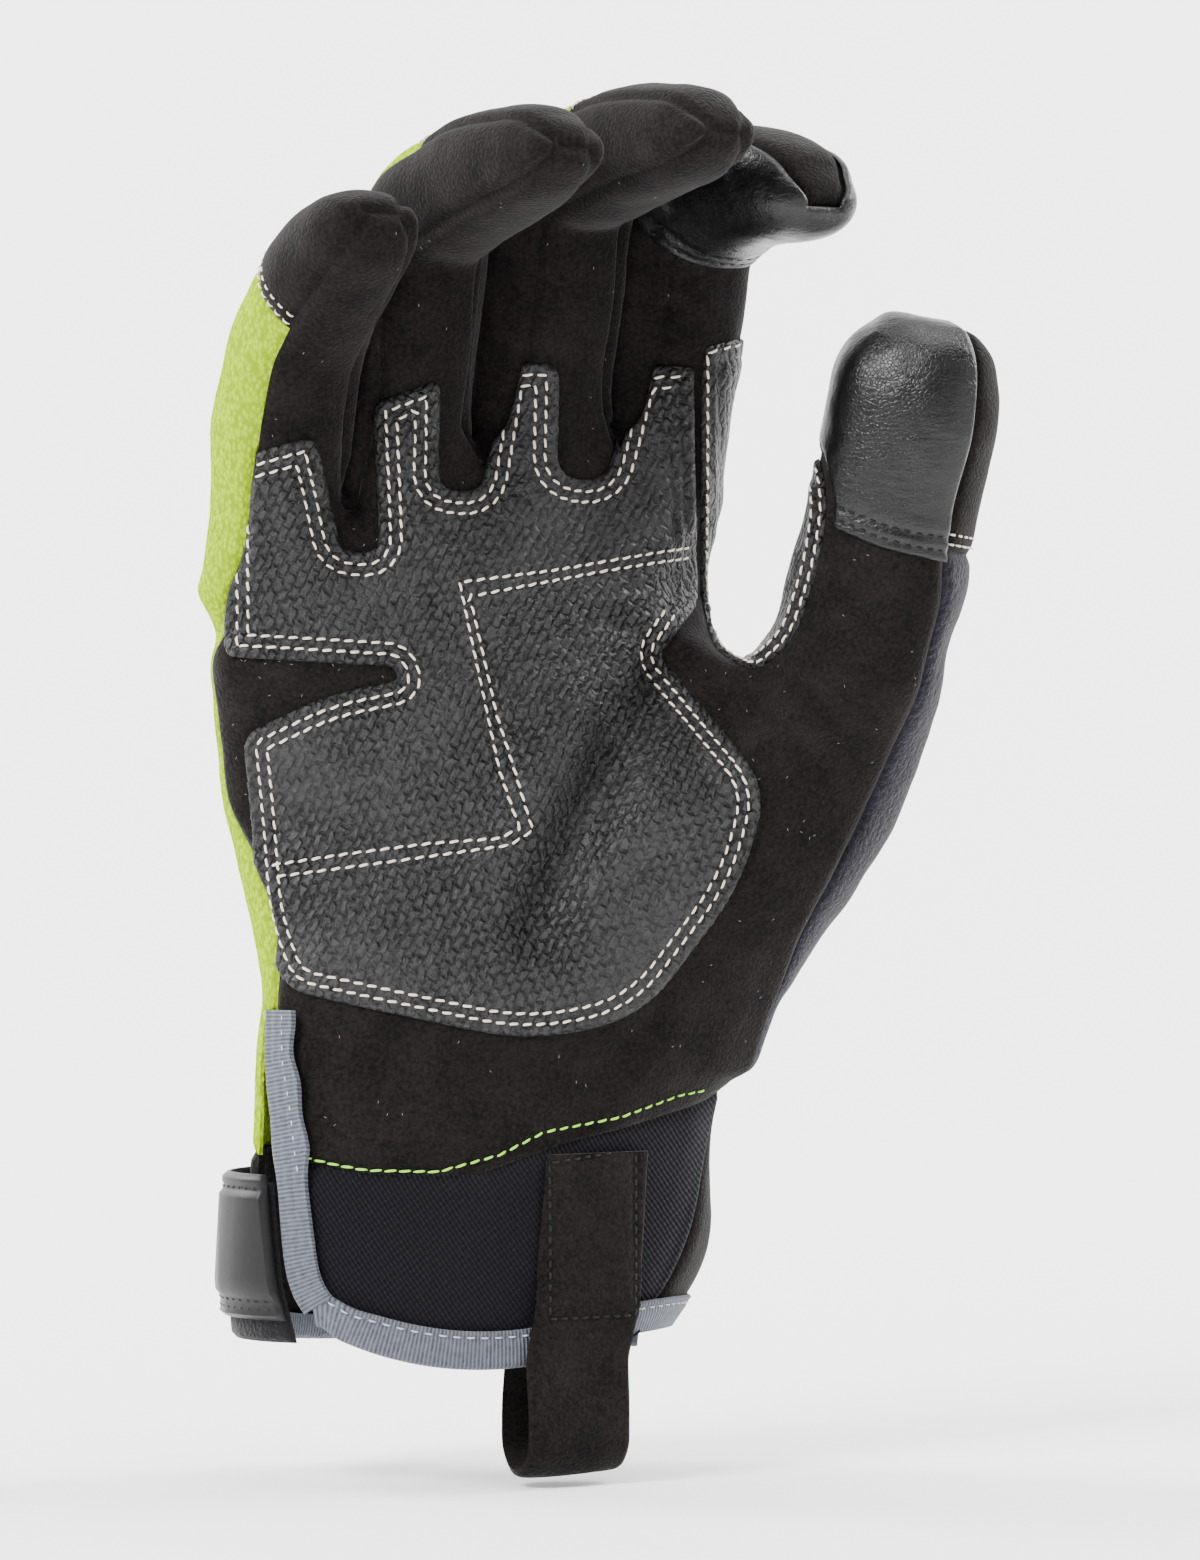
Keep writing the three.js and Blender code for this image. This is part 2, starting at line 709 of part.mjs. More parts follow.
// A closed shell over the chosen quads, from one offset of the net's skin to another. Open edges stand
// back by half the seam gap, so that neighbours never touch.
function shell(quads, outer, inner, gap = seamGap) {
  const used = new Map();
  const faces = [];
  for (const { corners } of quads) {
    const ids = corners.filter((id, i) => id !== corners[(i + 3) % 4]);
    if (ids.length < 3) continue;
    const local = ids.map((id) => {
      if (!used.has(id)) used.set(id, used.size);
      return used.get(id);
    });
    faces.push([local[0], local[1], local[2]]);
    if (local.length === 4) faces.push([local[0], local[2], local[3]]);
  }
  const ids = [...used.keys()];
  const edges = new Map();
  for (const face of faces) {
    face.forEach((a, i) => {
      const b = face[(i + 1) % 3];
      if (edges.has(`${b} ${a}`)) edges.delete(`${b} ${a}`);
      else edges.set(`${a} ${b}`, [a, b]);
    });
  }
  const retreat = ids.map(() => vec(0, 0, 0));
  for (const [a, b] of edges.values()) {
    const along = net.points[ids[b]].clone().sub(net.points[ids[a]]).normalize();
    for (const v of [a, b]) retreat[v].add(netNormals[ids[v]].clone().cross(along).normalize());
  }
  const place = (v, offset) => {
    const point = net.points[ids[v]].clone().addScaledVector(netNormals[ids[v]], offset);
    if (retreat[v].lengthSq() > 0) {
      const inwards = retreat[v].clone();
      const reach = gap / 2 / Math.max(0.5, inwards.lengthSq() / 4);
      point.addScaledVector(inwards.multiplyScalar(0.5), Math.min(reach, gap));
    }
    return point;
  };
  const points = [];
  for (let v = 0; v < ids.length; v++) points.push(place(v, outer));
  for (let v = 0; v < ids.length; v++) points.push(place(v, inner));
  const triangles = [];
  const count = ids.length;
  for (const [a, b, c] of faces) {
    triangles.push([a, b, c], [a + count, c + count, b + count]);
  }
  for (const [a, b] of edges.values()) {
    triangles.push([b, a, a + count], [b, a + count, b + count]);
  }
  return geometryOf(points, triangles);
}

function geometryOf(points, triangles) {
  const geometry = new THREE.BufferGeometry();
  geometry.setAttribute('position', new THREE.Float32BufferAttribute(points.flatMap((p) => [p.x, p.y, p.z]), 3));
  geometry.setIndex(triangles.flat());
  return geometry;
}

// Solids for joining and cutting, and back.
function solidOf(geometry) {
  const bare = geometry.clone();
  for (const name of Object.keys(bare.attributes)) if (name !== 'position') bare.deleteAttribute(name);
  const merged = mergeVertices(bare, 1e-4);
  return new wasm.Manifold(new wasm.Mesh({
    numProp: 3,
    vertProperties: new Float32Array(merged.attributes.position.array),
    triVerts: new Uint32Array(merged.index.array),
  }));
}

function geometryFrom(solid) {
  const mesh = solid.getMesh();
  const geometry = new THREE.BufferGeometry();
  geometry.setAttribute('position', new THREE.Float32BufferAttribute(mesh.vertProperties, 3));
  geometry.setIndex([...mesh.triVerts]);
  return geometry;
}

const group = new THREE.Group();
const finishes = {
  suede: { color: 0x1b1614, roughness: 0.95 },
  hivis: { color: 0xd2fa14, roughness: 0.8 },
  terry: { color: 0x29243a, roughness: 1 },
  knit: { color: 0x1e1c26, roughness: 0.9 },
  grip: { color: 0x333335, roughness: 0.6 },
  leather: { color: 0x0c0c0d, roughness: 0.35 },
  binding: { color: 0x787d87, roughness: 0.85 },
  rubber: { color: 0x373737, roughness: 0.55 },
  fleece: { color: 0x151519, roughness: 1 },
};

function addPiece(name, geometry, finish) {
  const look = finishes[finish];
  const material = new THREE.MeshStandardMaterial({ ...look, metalness: 0 });
  const mesh = new THREE.Mesh(geometry, material);
  mesh.name = name;
  group.add(mesh);
}

const cloth = {
  palm_panel: ['suede', suedeWall, seamGap],
  back_panel: ['hivis', stretchWall, seamGap],
  thumb_back_panel: ['terry', terryWall, crotchGap],
  fourchette_pinky_ring: ['suede', suedeWall, crotchGap],
  fourchette_ring_middle: ['suede', suedeWall, crotchGap],
  fourchette_middle_index: ['suede', suedeWall, crotchGap],
  finger_cap_pinky: ['suede', suedeWall, seamGap],
  finger_cap_ring: ['suede', suedeWall, seamGap],
  finger_cap_middle: ['suede', suedeWall, seamGap],
  finger_cap_index: ['suede', suedeWall, seamGap],
  thumb_cap: ['suede', suedeWall, seamGap],
  cuff_front: ['knit', knitWall, seamGap],
  cuff_back: ['suede', knitWall, seamGap],
};
for (const [name, [finish, wall, gap]] of Object.entries(cloth)) {
  addPiece(name, shell(net.quads.filter((quad) => pieceOf(quad) === name), 0, -wall, gap), finish);
}

// Outlines of the sewn-on patches, seen from the palm side. across is a share of palmBreadth, height of
// webHeight, and round is the corner's rounding in millimetres.
const palmOutline = [
  { across: -0.412, height: 1.002, round: 2.2 },
  { across: -0.408, height: 1.277, round: 2.9 },
  { across: -0.254, height: 1.312, round: 2.2 },
  { across: -0.215, height: 1.153, round: 2.5 },
  { across: -0.145, height: 1.148, round: 3.6 },
  { across: -0.155, height: 1.363, round: 1.6 },
  { across: -0.041, height: 1.398, round: 2.0 },
  { across: -0.046, height: 1.243, round: 3.1 },
  { across: 0.031, height: 1.24, round: 3.6 },
  { across: 0.07, height: 1.426, round: 2.2 },
  { across: 0.168, height: 1.426, round: 3.2 },
  { across: 0.163, height: 1.263, round: 4.3 },
  { across: 0.251, height: 1.26, round: 5.4 },
  { across: 0.306, height: 1.429, round: 4.7 },
  { across: 0.406, height: 1.429, round: 1.4 },
  { across: 0.411, height: 1.08, round: 2.5 },
  { across: 0.348, height: 1.009, round: 1.6 },
  { across: 0.536, height: 0.82, round: 7.2 },
  { across: 0.49, height: 0.677, round: 10.8 },
  { across: 0.311, height: 0.486, round: 10.8 },
  { across: 0.117, height: 0.455, round: 10.8 },
  { across: -0.308, height: 0.529, round: 5.0 },
  { across: -0.354, height: 0.627, round: 10.8 },
  { across: -0.382, height: 0.892, round: 3.2 },
  { across: -0.234, height: 0.948, round: 5.4 },
  { across: -0.111, height: 0.969, round: 1.1 },
  { across: -0.122, height: 0.989, round: 0.9 },
];
const saddleOutline = [
  { across: 0.422, height: 1.454, round: 1.1 },
  { across: 0.56, height: 1.489, round: 1.1 },
  { across: 0.575, height: 1.343, round: 0.7 },
  { across: 0.592, height: 1.329, round: 0.7 },
  { across: 0.622, height: 1.315, round: 0.9 },
  { across: 0.643, height: 1.229, round: 5.4 },
  { across: 0.624, height: 1.128, round: 5.4 },
  { across: 0.584, height: 1.028, round: 5.4 },
  { across: 0.517, height: 0.982, round: 2.9 },
  { across: 0.445, height: 1.017, round: 2.9 },
  { across: 0.422, height: 1.1, round: 3.6 },
];
// The leather of the thumb leaves the saddle's tip free and goes on past the thumb's sides.
const thumbOutline = [
  { across: 0.65, height: 1.188, round: 1.0 },
  { across: 0.733, height: 1.158, round: 3.0 },
  { across: 0.839, height: 1.139, round: 1.0 },
  { across: 1.05, height: 1.13, round: 0.5 },
  { across: 1.05, height: 1.62, round: 0.5 },
  { across: 0.48, height: 1.62, round: 0.5 },
  { across: 0.48, height: 1.355, round: 0.5 },
  { across: 0.598, height: 1.346, round: 0.5 },
  { across: 0.634, height: 1.321, round: 1.0 },
  { across: 0.655, height: 1.231, round: 3.0 },
];

// A straight cutter through the hand with the given outline.
function outlineCutter(outline) {
  const corners = outline.map((row) => new THREE.Vector2(row.across * palmBreadth, row.height * webHeight));
  const shape = new THREE.Shape();
  corners.forEach((corner, i) => {
    const before = corners[(i + corners.length - 1) % corners.length];
    const after = corners[(i + 1) % corners.length];
    const round = Math.min(outline[i].round, corner.distanceTo(before) / 2.1, corner.distanceTo(after) / 2.1);
    const start = corner.clone().lerp(before, round / corner.distanceTo(before));
    const end = corner.clone().lerp(after, round / corner.distanceTo(after));
    if (i === 0) shape.moveTo(start.x, start.y);
    else shape.lineTo(start.x, start.y);
    shape.quadraticCurveTo(corner.x, corner.y, end.x, end.y);
  });
  shape.closePath();
  const reach = 2 * palmBreadth;
  const geometry = new THREE.ExtrudeGeometry(shape, { depth: reach, bevelEnabled: false, curveSegments: 2 });
  geometry.rotateX(Math.PI / 2);
  geometry.translate(0, reach / 2, 0);
  return solidOf(geometry);
}

// A patch sewn over the skin: the chosen quads, lifted clear of the skin and cut to an outline.
function patch(quads, thickness, outline) {
  const sheet = shell(quads, patchGap + thickness, patchGap);
  if (!outline) return sheet;
  return geometryFrom(solidOf(sheet).intersect(outlineCutter(outline)).simplify(0.08));
}

const tabRows = 3;
const patchLow = bodyCounts.slice(0, 3).reduce((sum, n) => sum + n);
addPiece('palm_patch', patch(net.quads.filter(({ tube, row, strip }) => {
  if (strip !== 'front' || tube === 'thumb') return false;
  return tube === 'hand' ? row >= patchLow : tube === 'palm' || row < tabRows;
}), patchThickness, palmOutline), 'grip');

// The saddle wraps the web, but stops short of the back.
const saddleRows = 5;
addPiece('saddle_patch', patch(net.quads.filter(({ tube, row, strip, place }) => {
  const wraps = place + 1 < sideQuads;
  if (tube === 'palm') return strip === 'radial' ? wraps : strip === 'front' && place >= palmQuads - 2;
  if (tube === 'index' && row < tabRows) return strip === 'radial' ? wraps : strip === 'front' && place >= frontQuads - 2;
  return tube === 'thumb' && row < saddleRows && (strip === 'ulnar' ? wraps : strip === 'front' && place < 1);
}), patchThickness, saddleOutline), 'grip');

// The leather of the index finger reaches round to the seam of its cap.
const indexPatchRow = 4;
addPiece('index_tip_patch', patch(net.quads.filter(({ tube, row, strip }) => {
  return tube === 'index' && row >= indexPatchRow && strip !== 'back';
}), leatherThickness), 'leather');
const thumbPatchRow = 2;
addPiece('thumb_tip_patch', patch(net.quads.filter(({ tube, row, strip, place }) => {
  if (tube !== 'thumb' || row < thumbPatchRow) return false;
  return strip === 'front' || (strip === 'ulnar' && place < 2);
}), leatherThickness, thumbOutline), 'leather');

// A bar with the given section swept along frames. Each frame has a place and two directions, out of
// the cloth and along it, away from the edge; the section's corners are given in those two directions.
function sweep(frames, corners) {
  const contour = corners.map(([o, a]) => new THREE.Vector2(o, a));
  const section = THREE.ShapeUtils.area(contour) < 0 ? [...corners].reverse() : corners;
  const points = frames.flatMap(({ place, out, along }) => section.map(([o, a]) => {
    return place.clone().addScaledVector(out, o).addScaledVector(along, a);
  }));
  const n = section.length;
  const triangles = [];
  for (let f = 0; f + 1 < frames.length; f++) {
    for (let i = 0; i < n; i++) {
      const [a, b] = [f * n + i, f * n + (i + 1) % n];
      triangles.push([a, b, b + n], [a, b + n, a + n]);
    }
  }
  const ends = THREE.ShapeUtils.triangulateShape(section.map(([o, a]) => new THREE.Vector2(o, a)), []);
  const last = (frames.length - 1) * n;
  for (const [a, b, c] of ends) {
    triangles.push([c, b, a], [a + last, b + last, c + last]);
  }
  const geometry = geometryOf(points, triangles);
  return solidOf(geometry).volume() > 0 ? geometry : geometryOf(points, triangles.map(([a, b, c]) => [a, c, b]));
}

// Binding tape folded over an edge of the cloth: an outer and an inner leaf joined past the edge.
function bindingSection(wall, leaf) {
  const outer = bindingGap + bindingThickness;
  return [
    [bindingGap, leaf], [outer, leaf], [outer, -outer], [-wall - outer, -outer], [-wall - outer, leaf],
    [-wall - bindingGap, leaf], [-wall - bindingGap, -bindingGap], [bindingGap, -bindingGap],
  ];
}

// Frames along an edge of the net: edge and next are point numbers on the edge and one row inside it.
function edgeFrames(edge, next) {
  return edge.map((id, i) => {
    const place = net.points[id].clone();
    const along = net.points[next[i]].clone().sub(place).normalize();
    const before = net.points[edge[Math.max(0, i - 1)]];
    const after = net.points[edge[Math.min(edge.length - 1, i + 1)]];
    const out = after.clone().sub(before).cross(along).normalize();
    if (out.dot(netNormals[id]) < 0) out.negate();
    return { place, out, along };
  });
}

const around = (ids) => [...ids.front, ...ids.radial.slice(1), ...ids.back.slice(0, -1).reverse()];
addPiece('hem_binding', sweep(edgeFrames(around(bodyRows[0]), around(bodyRows[1])),
  bindingSection(knitWall, bindingHeight)), 'binding');

// The slit's binding starts above the hem's and ends at the top of the slit.
const slitRows = bodyRows.slice(0, slitTopRow + 1);
const slitFrames = edgeFrames(slitRows.map((ids) => ids.front[0]), slitRows.map((ids) => ids.front[1]));
const slitStart = (bindingHeight + 9 * seamGap) / slitFrames[0].place.distanceTo(slitFrames[1].place);
slitFrames[0].place.lerp(slitFrames[1].place, slitStart);
addPiece('slit_binding', sweep(slitFrames, bindingSection(knitWall, slitBindingWidth)), 'binding');

// A point of the cuff's skin at an angle round the ring and a height, and the way out of it.
function cuffRing(z) {
  const share = z / webHeight;
  const row = {};
  for (const key of Object.keys(bodyRings[0])) row[key] = fromTable(bodyRings, 'height', key, share);
  const yaw = row.yaw * palmYaw;
  return {
    centre: vec(row.shift * (baseBreadth - cuffBreadth) / 2, 0, z),
    across: palmAcross(yaw),
    palmar: palmPalmar(yaw),
    halfBreadth: lerp(cuffBreadth, baseBreadth, row.spread) / 2,
    halfDepth: lerp(cuffDepth, palmDepth, row.flat) / 2,
    slit: row.ulnar,
  };
}

function cuffSkin(angle, z) {
  const ring = cuffRing(z);
  const tangent = ringPoint(ring, angle + 0.5).sub(ringPoint(ring, angle - 0.5));
  return { place: ringPoint(ring, angle), out: tangent.cross(up).normalize() };
}

// A closed slab between two offsets of a grid of skin points.
function slab(grid, inner, thickness) {
  const columns = grid[0].length;
  const points = [inner, inner + thickness].flatMap((offset, layer) => grid.flatMap((line, i) => {
    return line.map(({ place, out }) => {
      const lift = typeof inner === 'function' ? inner(i) + layer * thickness : offset;
      return place.clone().addScaledVector(out, lift);
    });
  }));
  const count = grid.length * columns;
  const triangles = [];
  const quad = (a, b, c, d) => triangles.push([a, b, c], [a, c, d]);
  for (let i = 0; i + 1 < grid.length; i++) {
    for (let j = 0; j + 1 < columns; j++) {
      const [a, b, c, d] = [i * columns + j, (i + 1) * columns + j, (i + 1) * columns + j + 1, i * columns + j + 1];
      quad(a, b, c, d);
      quad(d + count, c + count, b + count, a + count);
    }
    const [low, high] = [i * columns, (i + 1) * columns];
    quad(low, low + count, high + count, high);
    const [lowEnd, highEnd] = [low + columns - 1, high + columns - 1];
    quad(highEnd, highEnd + count, lowEnd + count, lowEnd);
  }
  const lastRow = (grid.length - 1) * columns;
  for (let j = 0; j + 1 < columns; j++) {
    quad(j + 1, j + 1 + count, j + count, j);
    quad(lastRow + j, lastRow + j + count, lastRow + j + 1 + count, lastRow + j + 1);
  }
  const geometry = geometryOf(points, triangles);
  return solidOf(geometry).volume() > 0 ? geometry : geometryOf(points, triangles.map(([a, b, c]) => [a, c, b]));
}

// The strap lies on the fastening pad and comes out from under the slit's binding.
const strapLow = 3.6;
const strapEnd = -125;
const strapSteps = 18;
const overPad = 2 * seamGap + padThickness;
const strapAngles = (z, share) => {
  const ring = cuffRing(z);
  return lerp(ring.slit - 7, strapEnd, share);
};
const strapLevels = 2;
function strapGrid(low, high, first, last) {
  return Array.from({ length: last - first + 1 }, (_, i) => {
    return Array.from({ length: strapLevels + 1 }, (_, j) => {
      const z = lerp(low, high, j / strapLevels);
      return cuffSkin(strapAngles(z, (first + i) / strapSteps), z);
    });
  });
}
const strapRise = 3;
const strapLift = (step) => lerp(-0.4, overPad, clamp(step / strapRise, 0, 1));
const strapHigh = strapLow + strapWidth;
addPiece('strap_base', slab(strapGrid(strapLow, strapHigh, 0, strapSteps), strapLift, strapThickness), 'fleece');
addPiece('strap_tab', slab(strapGrid(strapLow + 4, strapHigh + 1.5, 0, strapSteps - 1),
  (step) => strapLift(step) + strapThickness + 2 * seamGap, tabThickness), 'rubber');
addPiece('loop_pad', slab(strapGrid(strapLow + 6, strapHigh - 3, 8, 16), seamGap, padThickness), 'fleece');

// The pull loop: a tape down the outside of the cuff, folded up again behind the hem.
const loopAngle = 101.7;
const loopTop = cuffHeight - 1.5;
const loopBend = 4.2;
const loopRoute = () => {
  const overHem = bindingGap + bindingThickness + 3 * seamGap;
  const behindHem = -knitWall - overHem - 0.6;
  const depth = (overHem - behindHem) / 2;
  const low = -loopDrop + loopBend;
  const route = [
    { z: loopTop, off: 2 * seamGap },
    { z: 16, off: 2 * seamGap },
    { z: bindingHeight + 4, off: overHem },
    { z: 0, off: overHem },
    { z: -8, off: overHem + 0.8 },
    { z: low, off: overHem + 0.8 },
  ];
  for (let i = 1; i < 6; i++) {
    const turn = Math.PI * i / 6;
    route.push({ z: low - loopBend * Math.sin(turn), off: overHem - depth + depth * Math.cos(turn) });
  }
  route.push({ z: low, off: behindHem - 0.8 }, { z: -8, off: behindHem - 0.8 }, { z: 0, off: behindHem });
  route.push({ z: bindingHeight + 2, off: behindHem });
  return route;
};
const loopSkin = cuffSkin(loopAngle, 8);
const loopAcross = loopSkin.out.clone().cross(up).normalize();
const loopFrames = loopRoute().map(({ z, off }, i, all) => {
  const before = all[Math.max(0, i - 1)];
  const after = all[Math.min(all.length - 1, i + 1)];
  const run = vec(0, 0, after.z - before.z).addScaledVector(loopSkin.out, after.off - before.off).normalize();
  const out = loopAcross.clone().cross(run).normalize();
  const skin = cuffSkin(loopAngle, Math.max(z, 0));
  const place = vec(skin.place.x, skin.place.y, z).addScaledVector(loopSkin.out, off);
  return { place, out: loopAcross, along: out };
});
addPiece('pull_loop', sweep(loopFrames, [
  [-loopWidth / 2, 0], [loopWidth / 2, 0], [loopWidth / 2, loopThickness], [-loopWidth / 2, loopThickness],
]), 'suede');

export default group;
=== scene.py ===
"""Looks of the mechanic glove: cloth, suede, grip patches, stitches, bindings, strap and studio.

The glove's skin is worked out from the same named sizes as its solids, in millimetres, and every
piece is then made over that skin and handed to Blender in metres.
"""
from __future__ import annotations

import logging
import math
from collections.abc import Callable, Sequence
from dataclasses import dataclass, field
from enum import Enum

import bpy
import numpy as np
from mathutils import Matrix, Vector, noise
from mathutils.bvhtree import BVHTree
from mathutils.kdtree import KDTree

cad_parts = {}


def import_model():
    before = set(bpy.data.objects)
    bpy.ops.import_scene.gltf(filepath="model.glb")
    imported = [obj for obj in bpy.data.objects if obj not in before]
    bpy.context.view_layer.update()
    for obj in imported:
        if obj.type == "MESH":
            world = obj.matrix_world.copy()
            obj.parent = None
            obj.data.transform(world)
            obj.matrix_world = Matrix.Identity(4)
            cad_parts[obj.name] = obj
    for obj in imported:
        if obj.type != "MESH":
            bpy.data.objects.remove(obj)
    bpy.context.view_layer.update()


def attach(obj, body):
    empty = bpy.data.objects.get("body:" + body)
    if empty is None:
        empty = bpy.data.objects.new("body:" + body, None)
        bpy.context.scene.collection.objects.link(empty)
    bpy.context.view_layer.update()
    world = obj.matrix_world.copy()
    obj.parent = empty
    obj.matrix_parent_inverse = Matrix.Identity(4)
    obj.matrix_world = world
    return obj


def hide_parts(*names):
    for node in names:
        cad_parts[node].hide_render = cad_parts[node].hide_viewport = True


LOG = logging.getLogger("mechanic_glove")
MM = 0.001  # metres in a millimetre
UP = np.array((0.0, 0.0, 1.0))
PATCH_EDGE = 0.25  # how thick a sewn patch is at its very edge, in millimetres
PATCH_GAP = 0.04  # how far a patch's underside stands off the skin
VIEWER = -400.0  # the y that rays towards the glove start from

Array = np.ndarray
Faces = Sequence[Sequence[int]]
Strips = dict[str, Array]
Numbers = dict[str, list[int]]
Triple = tuple[float, float, float]
Socket = bpy.types.NodeSocket
STRIP_NAMES = ("front", "radial", "back", "ulnar")
FINGER_NAMES = ("pinky", "ring", "middle", "index")


# The hand form.


@dataclass(frozen=True)
class HandSizes:
    """Driving sizes of the hand form, in millimetres and degrees."""

    cuff_breadth: float = 91
    cuff_depth: float = 46
    cuff_height: float = 38
    base_breadth: float = 128
    palm_depth: float = 32
    web_height: float = 124
    palm_breadth: float = 101
    palm_yaw: float = 25
    finger_yaw: float = 32
    finger_breadth: float = 23.5
    finger_depth: float = 23
    thumb_length: float = 60
    thumb_breadth: float = 31
    thumb_depth: float = 27
    knuckle_height: float = 132
    bend_blend: float = 6
    hem_rise: float = 5
    slit_rise: float = 8
    web_rise: float = 1
    web_dip: float = 7
    web_shift: float = 5
    thumb_tilt: float = 10
    tip_seam_breadth: float = 0.42


@dataclass(frozen=True)
class Quads:
    """How many quads the control form has across its strips."""

    front: int = 4
    side: int = 3
    thumb: int = 5

    @property
    def palm(self) -> int:
        """Quads across the palm."""
        return self.front * len(FINGER_NAMES)


@dataclass(frozen=True)
class BodyRow:
    """A ring below the thumb web, as shares of the driving sizes, with its seam angles."""

    height: float
    spread: float
    shift: float
    flat: float
    yaw: float
    palm_share: float
    ulnar: float
    ulnar_back: float
    radial: float


@dataclass(frozen=True)
class FingerRow:
    """Lengths of a finger's four stretches and the bend of each from upright."""

    base: float
    palm: float
    first: float
    second: float
    tip: float
    bends: tuple[float, float, float, float]
    depth: float = 1.0

    @property
    def length(self) -> float:
        """Length of the whole spine."""
        return self.palm + self.first + self.second + self.tip


@dataclass(frozen=True)
class ThumbRow:
    """A ring of the thumb, as shares of its length, breadth and depth."""

    along: float
    side: float
    fore: float
    breadth: float
    depth: float
    yaw: float


@dataclass(frozen=True)
class Crease:
    """A soft valley between two places seen from the palm side."""

    x_from: float
    z_from: float
    x_to: float
    z_to: float
    width: float
    depth: float
    ridge: float = 0.35


SIZES = HandSizes()
QUADS = Quads()

BODY_ROWS = (
    BodyRow(0.0, -0.28, 0.02, 0.0, 1.0, 0.78, 33, -10, 56),
    BodyRow(0.113, -0.08, 0.14, 0.05, 1.0, 0.78, 26, -8, 46),
    BodyRow(0.306, -0.04, 0.24, 0.12, 1.0, 0.77, 16, -6, 20),
    BodyRow(0.4, 0.06, 0.39, 0.2, 0.9, 0.76, 11, -6, 22),
    BodyRow(0.5, 0.18, 0.58, 0.3, 0.8, 0.75, 9, -5, 25),
    BodyRow(0.6, 0.39, 0.76, 0.42, 0.65, 0.74, 17, -25, 32),
    BodyRow(0.7, 0.67, 0.9, 0.54, 0.5, 0.73, 18, -40, 33),
    BodyRow(0.8, 0.92, 1.0, 0.66, 0.42, 0.72, 6, -45, 33),
)
BODY_COUNTS = (1, 2, 1, 2, 2, 2, 2, 3)
PALM_COUNTS = (2, 3)
CUFF_SEAM_LIFT = ((0.0, -0.05), (0.2, -0.12), (0.38, -0.13), (0.55, 0.0), (0.75, 0.1), (1.0, 0.21))
FINGERS = {
    "pinky": FingerRow(-0.385, 23, 27, 18, 19, (5, 20, 50, 66), depth=0.98),
    "ring": FingerRow(-0.15, 33, 37.5, 30, 22, (5, 13, 76, 88)),
    "middle": FingerRow(0.118, 38, 40, 29, 24, (5, 14, 80, 92)),
    "index": FingerRow(0.372, 41, 32.5, 22, 21, (5, 17, 76, 110)),
}
CROTCH_HEIGHTS = (13, 15.5, 26.5, 29, 27)
FINGER_RINGS = (
    (0.1, 1.0, 1.0), (0.24, 1.0, 1.0), (0.38, 0.985, 0.98), (0.5, 0.97, 0.97), (0.62, 0.95, 0.95),
    (0.73, 0.93, 0.92),
)
TIP_RINGS = (0.55, 0.8, 0.94, 1.0)
THUMB_RINGS = (
    ThumbRow(0.14, 0.13, 0.03, 1.08, 1.08, -8),
    ThumbRow(0.24, 0.165, 0.08, 1.0, 1.02, -11),
    ThumbRow(0.35, 0.2, 0.14, 0.96, 0.99, -13),
    ThumbRow(0.5, 0.255, 0.21, 0.95, 0.98, -15),
    ThumbRow(0.65, 0.32, 0.27, 0.96, 0.96, -15),
    ThumbRow(0.77, 0.36, 0.31, 0.96, 0.93, -15),
)
THUMB_TOP = ThumbRow(1.0, 0.39, 0.36, 1.0, 1.0, -15)
CUFF_SEAM_ROW = BODY_COUNTS[0] + BODY_COUNTS[1]
SLIT_TOP_ROW = CUFF_SEAM_ROW + BODY_COUNTS[2] + BODY_COUNTS[3]
CAP_ROW = 5
THUMB_CAP_ROW = 3
TAB_ROWS = 3
SADDLE_ROWS = 5
INDEX_PATCH_ROW = 4
THUMB_PATCH_ROW = 2

FORM_CREASES = (
    Crease(31.3, 116.6, 13.6, 75.6, 11, 2.6, ridge=0.0),
    Crease(53.5, 117.8, 65.7, 110.4, 8, 1.6, ridge=0.0),
)
SOFT_CREASES = (
    Crease(32.0, 118.0, 12.0, 78.0, 10, 2.9, ridge=0.45),
    Crease(22.8, 132.0, 33.5, 127.5, 4.5, 1),
    Crease(20.5, 121.0, 25.5, 110.0, 4.5, 0.9),
    Crease(8.0, 128.0, 3.0, 112.0, 6, 0.75),
    Crease(-8.0, 141.0, -3.0, 126.0, 5, 0.6),
    Crease(36.0, 92.0, 27.0, 78.0, 6, 0.75),
    Crease(54.0, 122.5, 66.0, 114.5, 4.5, 1.4),
    Crease(52.5, 117.0, 61.5, 106.0, 4.0, 1),
    Crease(63.0, 134.5, 72.0, 136.5, 4.0, 1),
    Crease(46.0, 116.0, 50.0, 103.0, 4.0, 0.75),
    Crease(-36.0, 158.0, -20.0, 148.0, 4.5, 0.75),
    Crease(-34.0, 168.0, -24.0, 160.0, 4.0, 0.6),
    Crease(-12.0, 169.0, -3.0, 158.0, 4.5, 0.75),
    Crease(18.0, 170.0, 26.0, 160.0, 4.5, 0.75),
    Crease(33.0, 189.0, 45.0, 184.0, 4.0, 1.2),
    Crease(33.0, 184.5, 45.5, 180.0, 4.0, 1),
    Crease(34.0, 179.0, 44.0, 176.0, 3.5, 0.75),
    Crease(-28.0, 48.0, -8.0, 52.0, 4.0, 0.75),
    Crease(2.0, 49.5, 20.0, 54.0, 4.5, 0.75),
    Crease(24.0, 50.0, 36.0, 62.0, 5.0, 0.75),
)


def lerp(a: float, b: float, t: float) -> float:
    """The value at share t between a and b."""
    return a + (b - a) * t


def across_of(yaw: float) -> Array:
    """Unit vector along the breadth of a ring turned by yaw."""
    return np.array((math.cos(math.radians(yaw)), math.sin(math.radians(yaw)), 0.0))


def palmar_of(yaw: float) -> Array:
    """Unit vector out of the palm side of a ring turned by yaw."""
    return np.array((math.sin(math.radians(yaw)), -math.cos(math.radians(yaw)), 0.0))


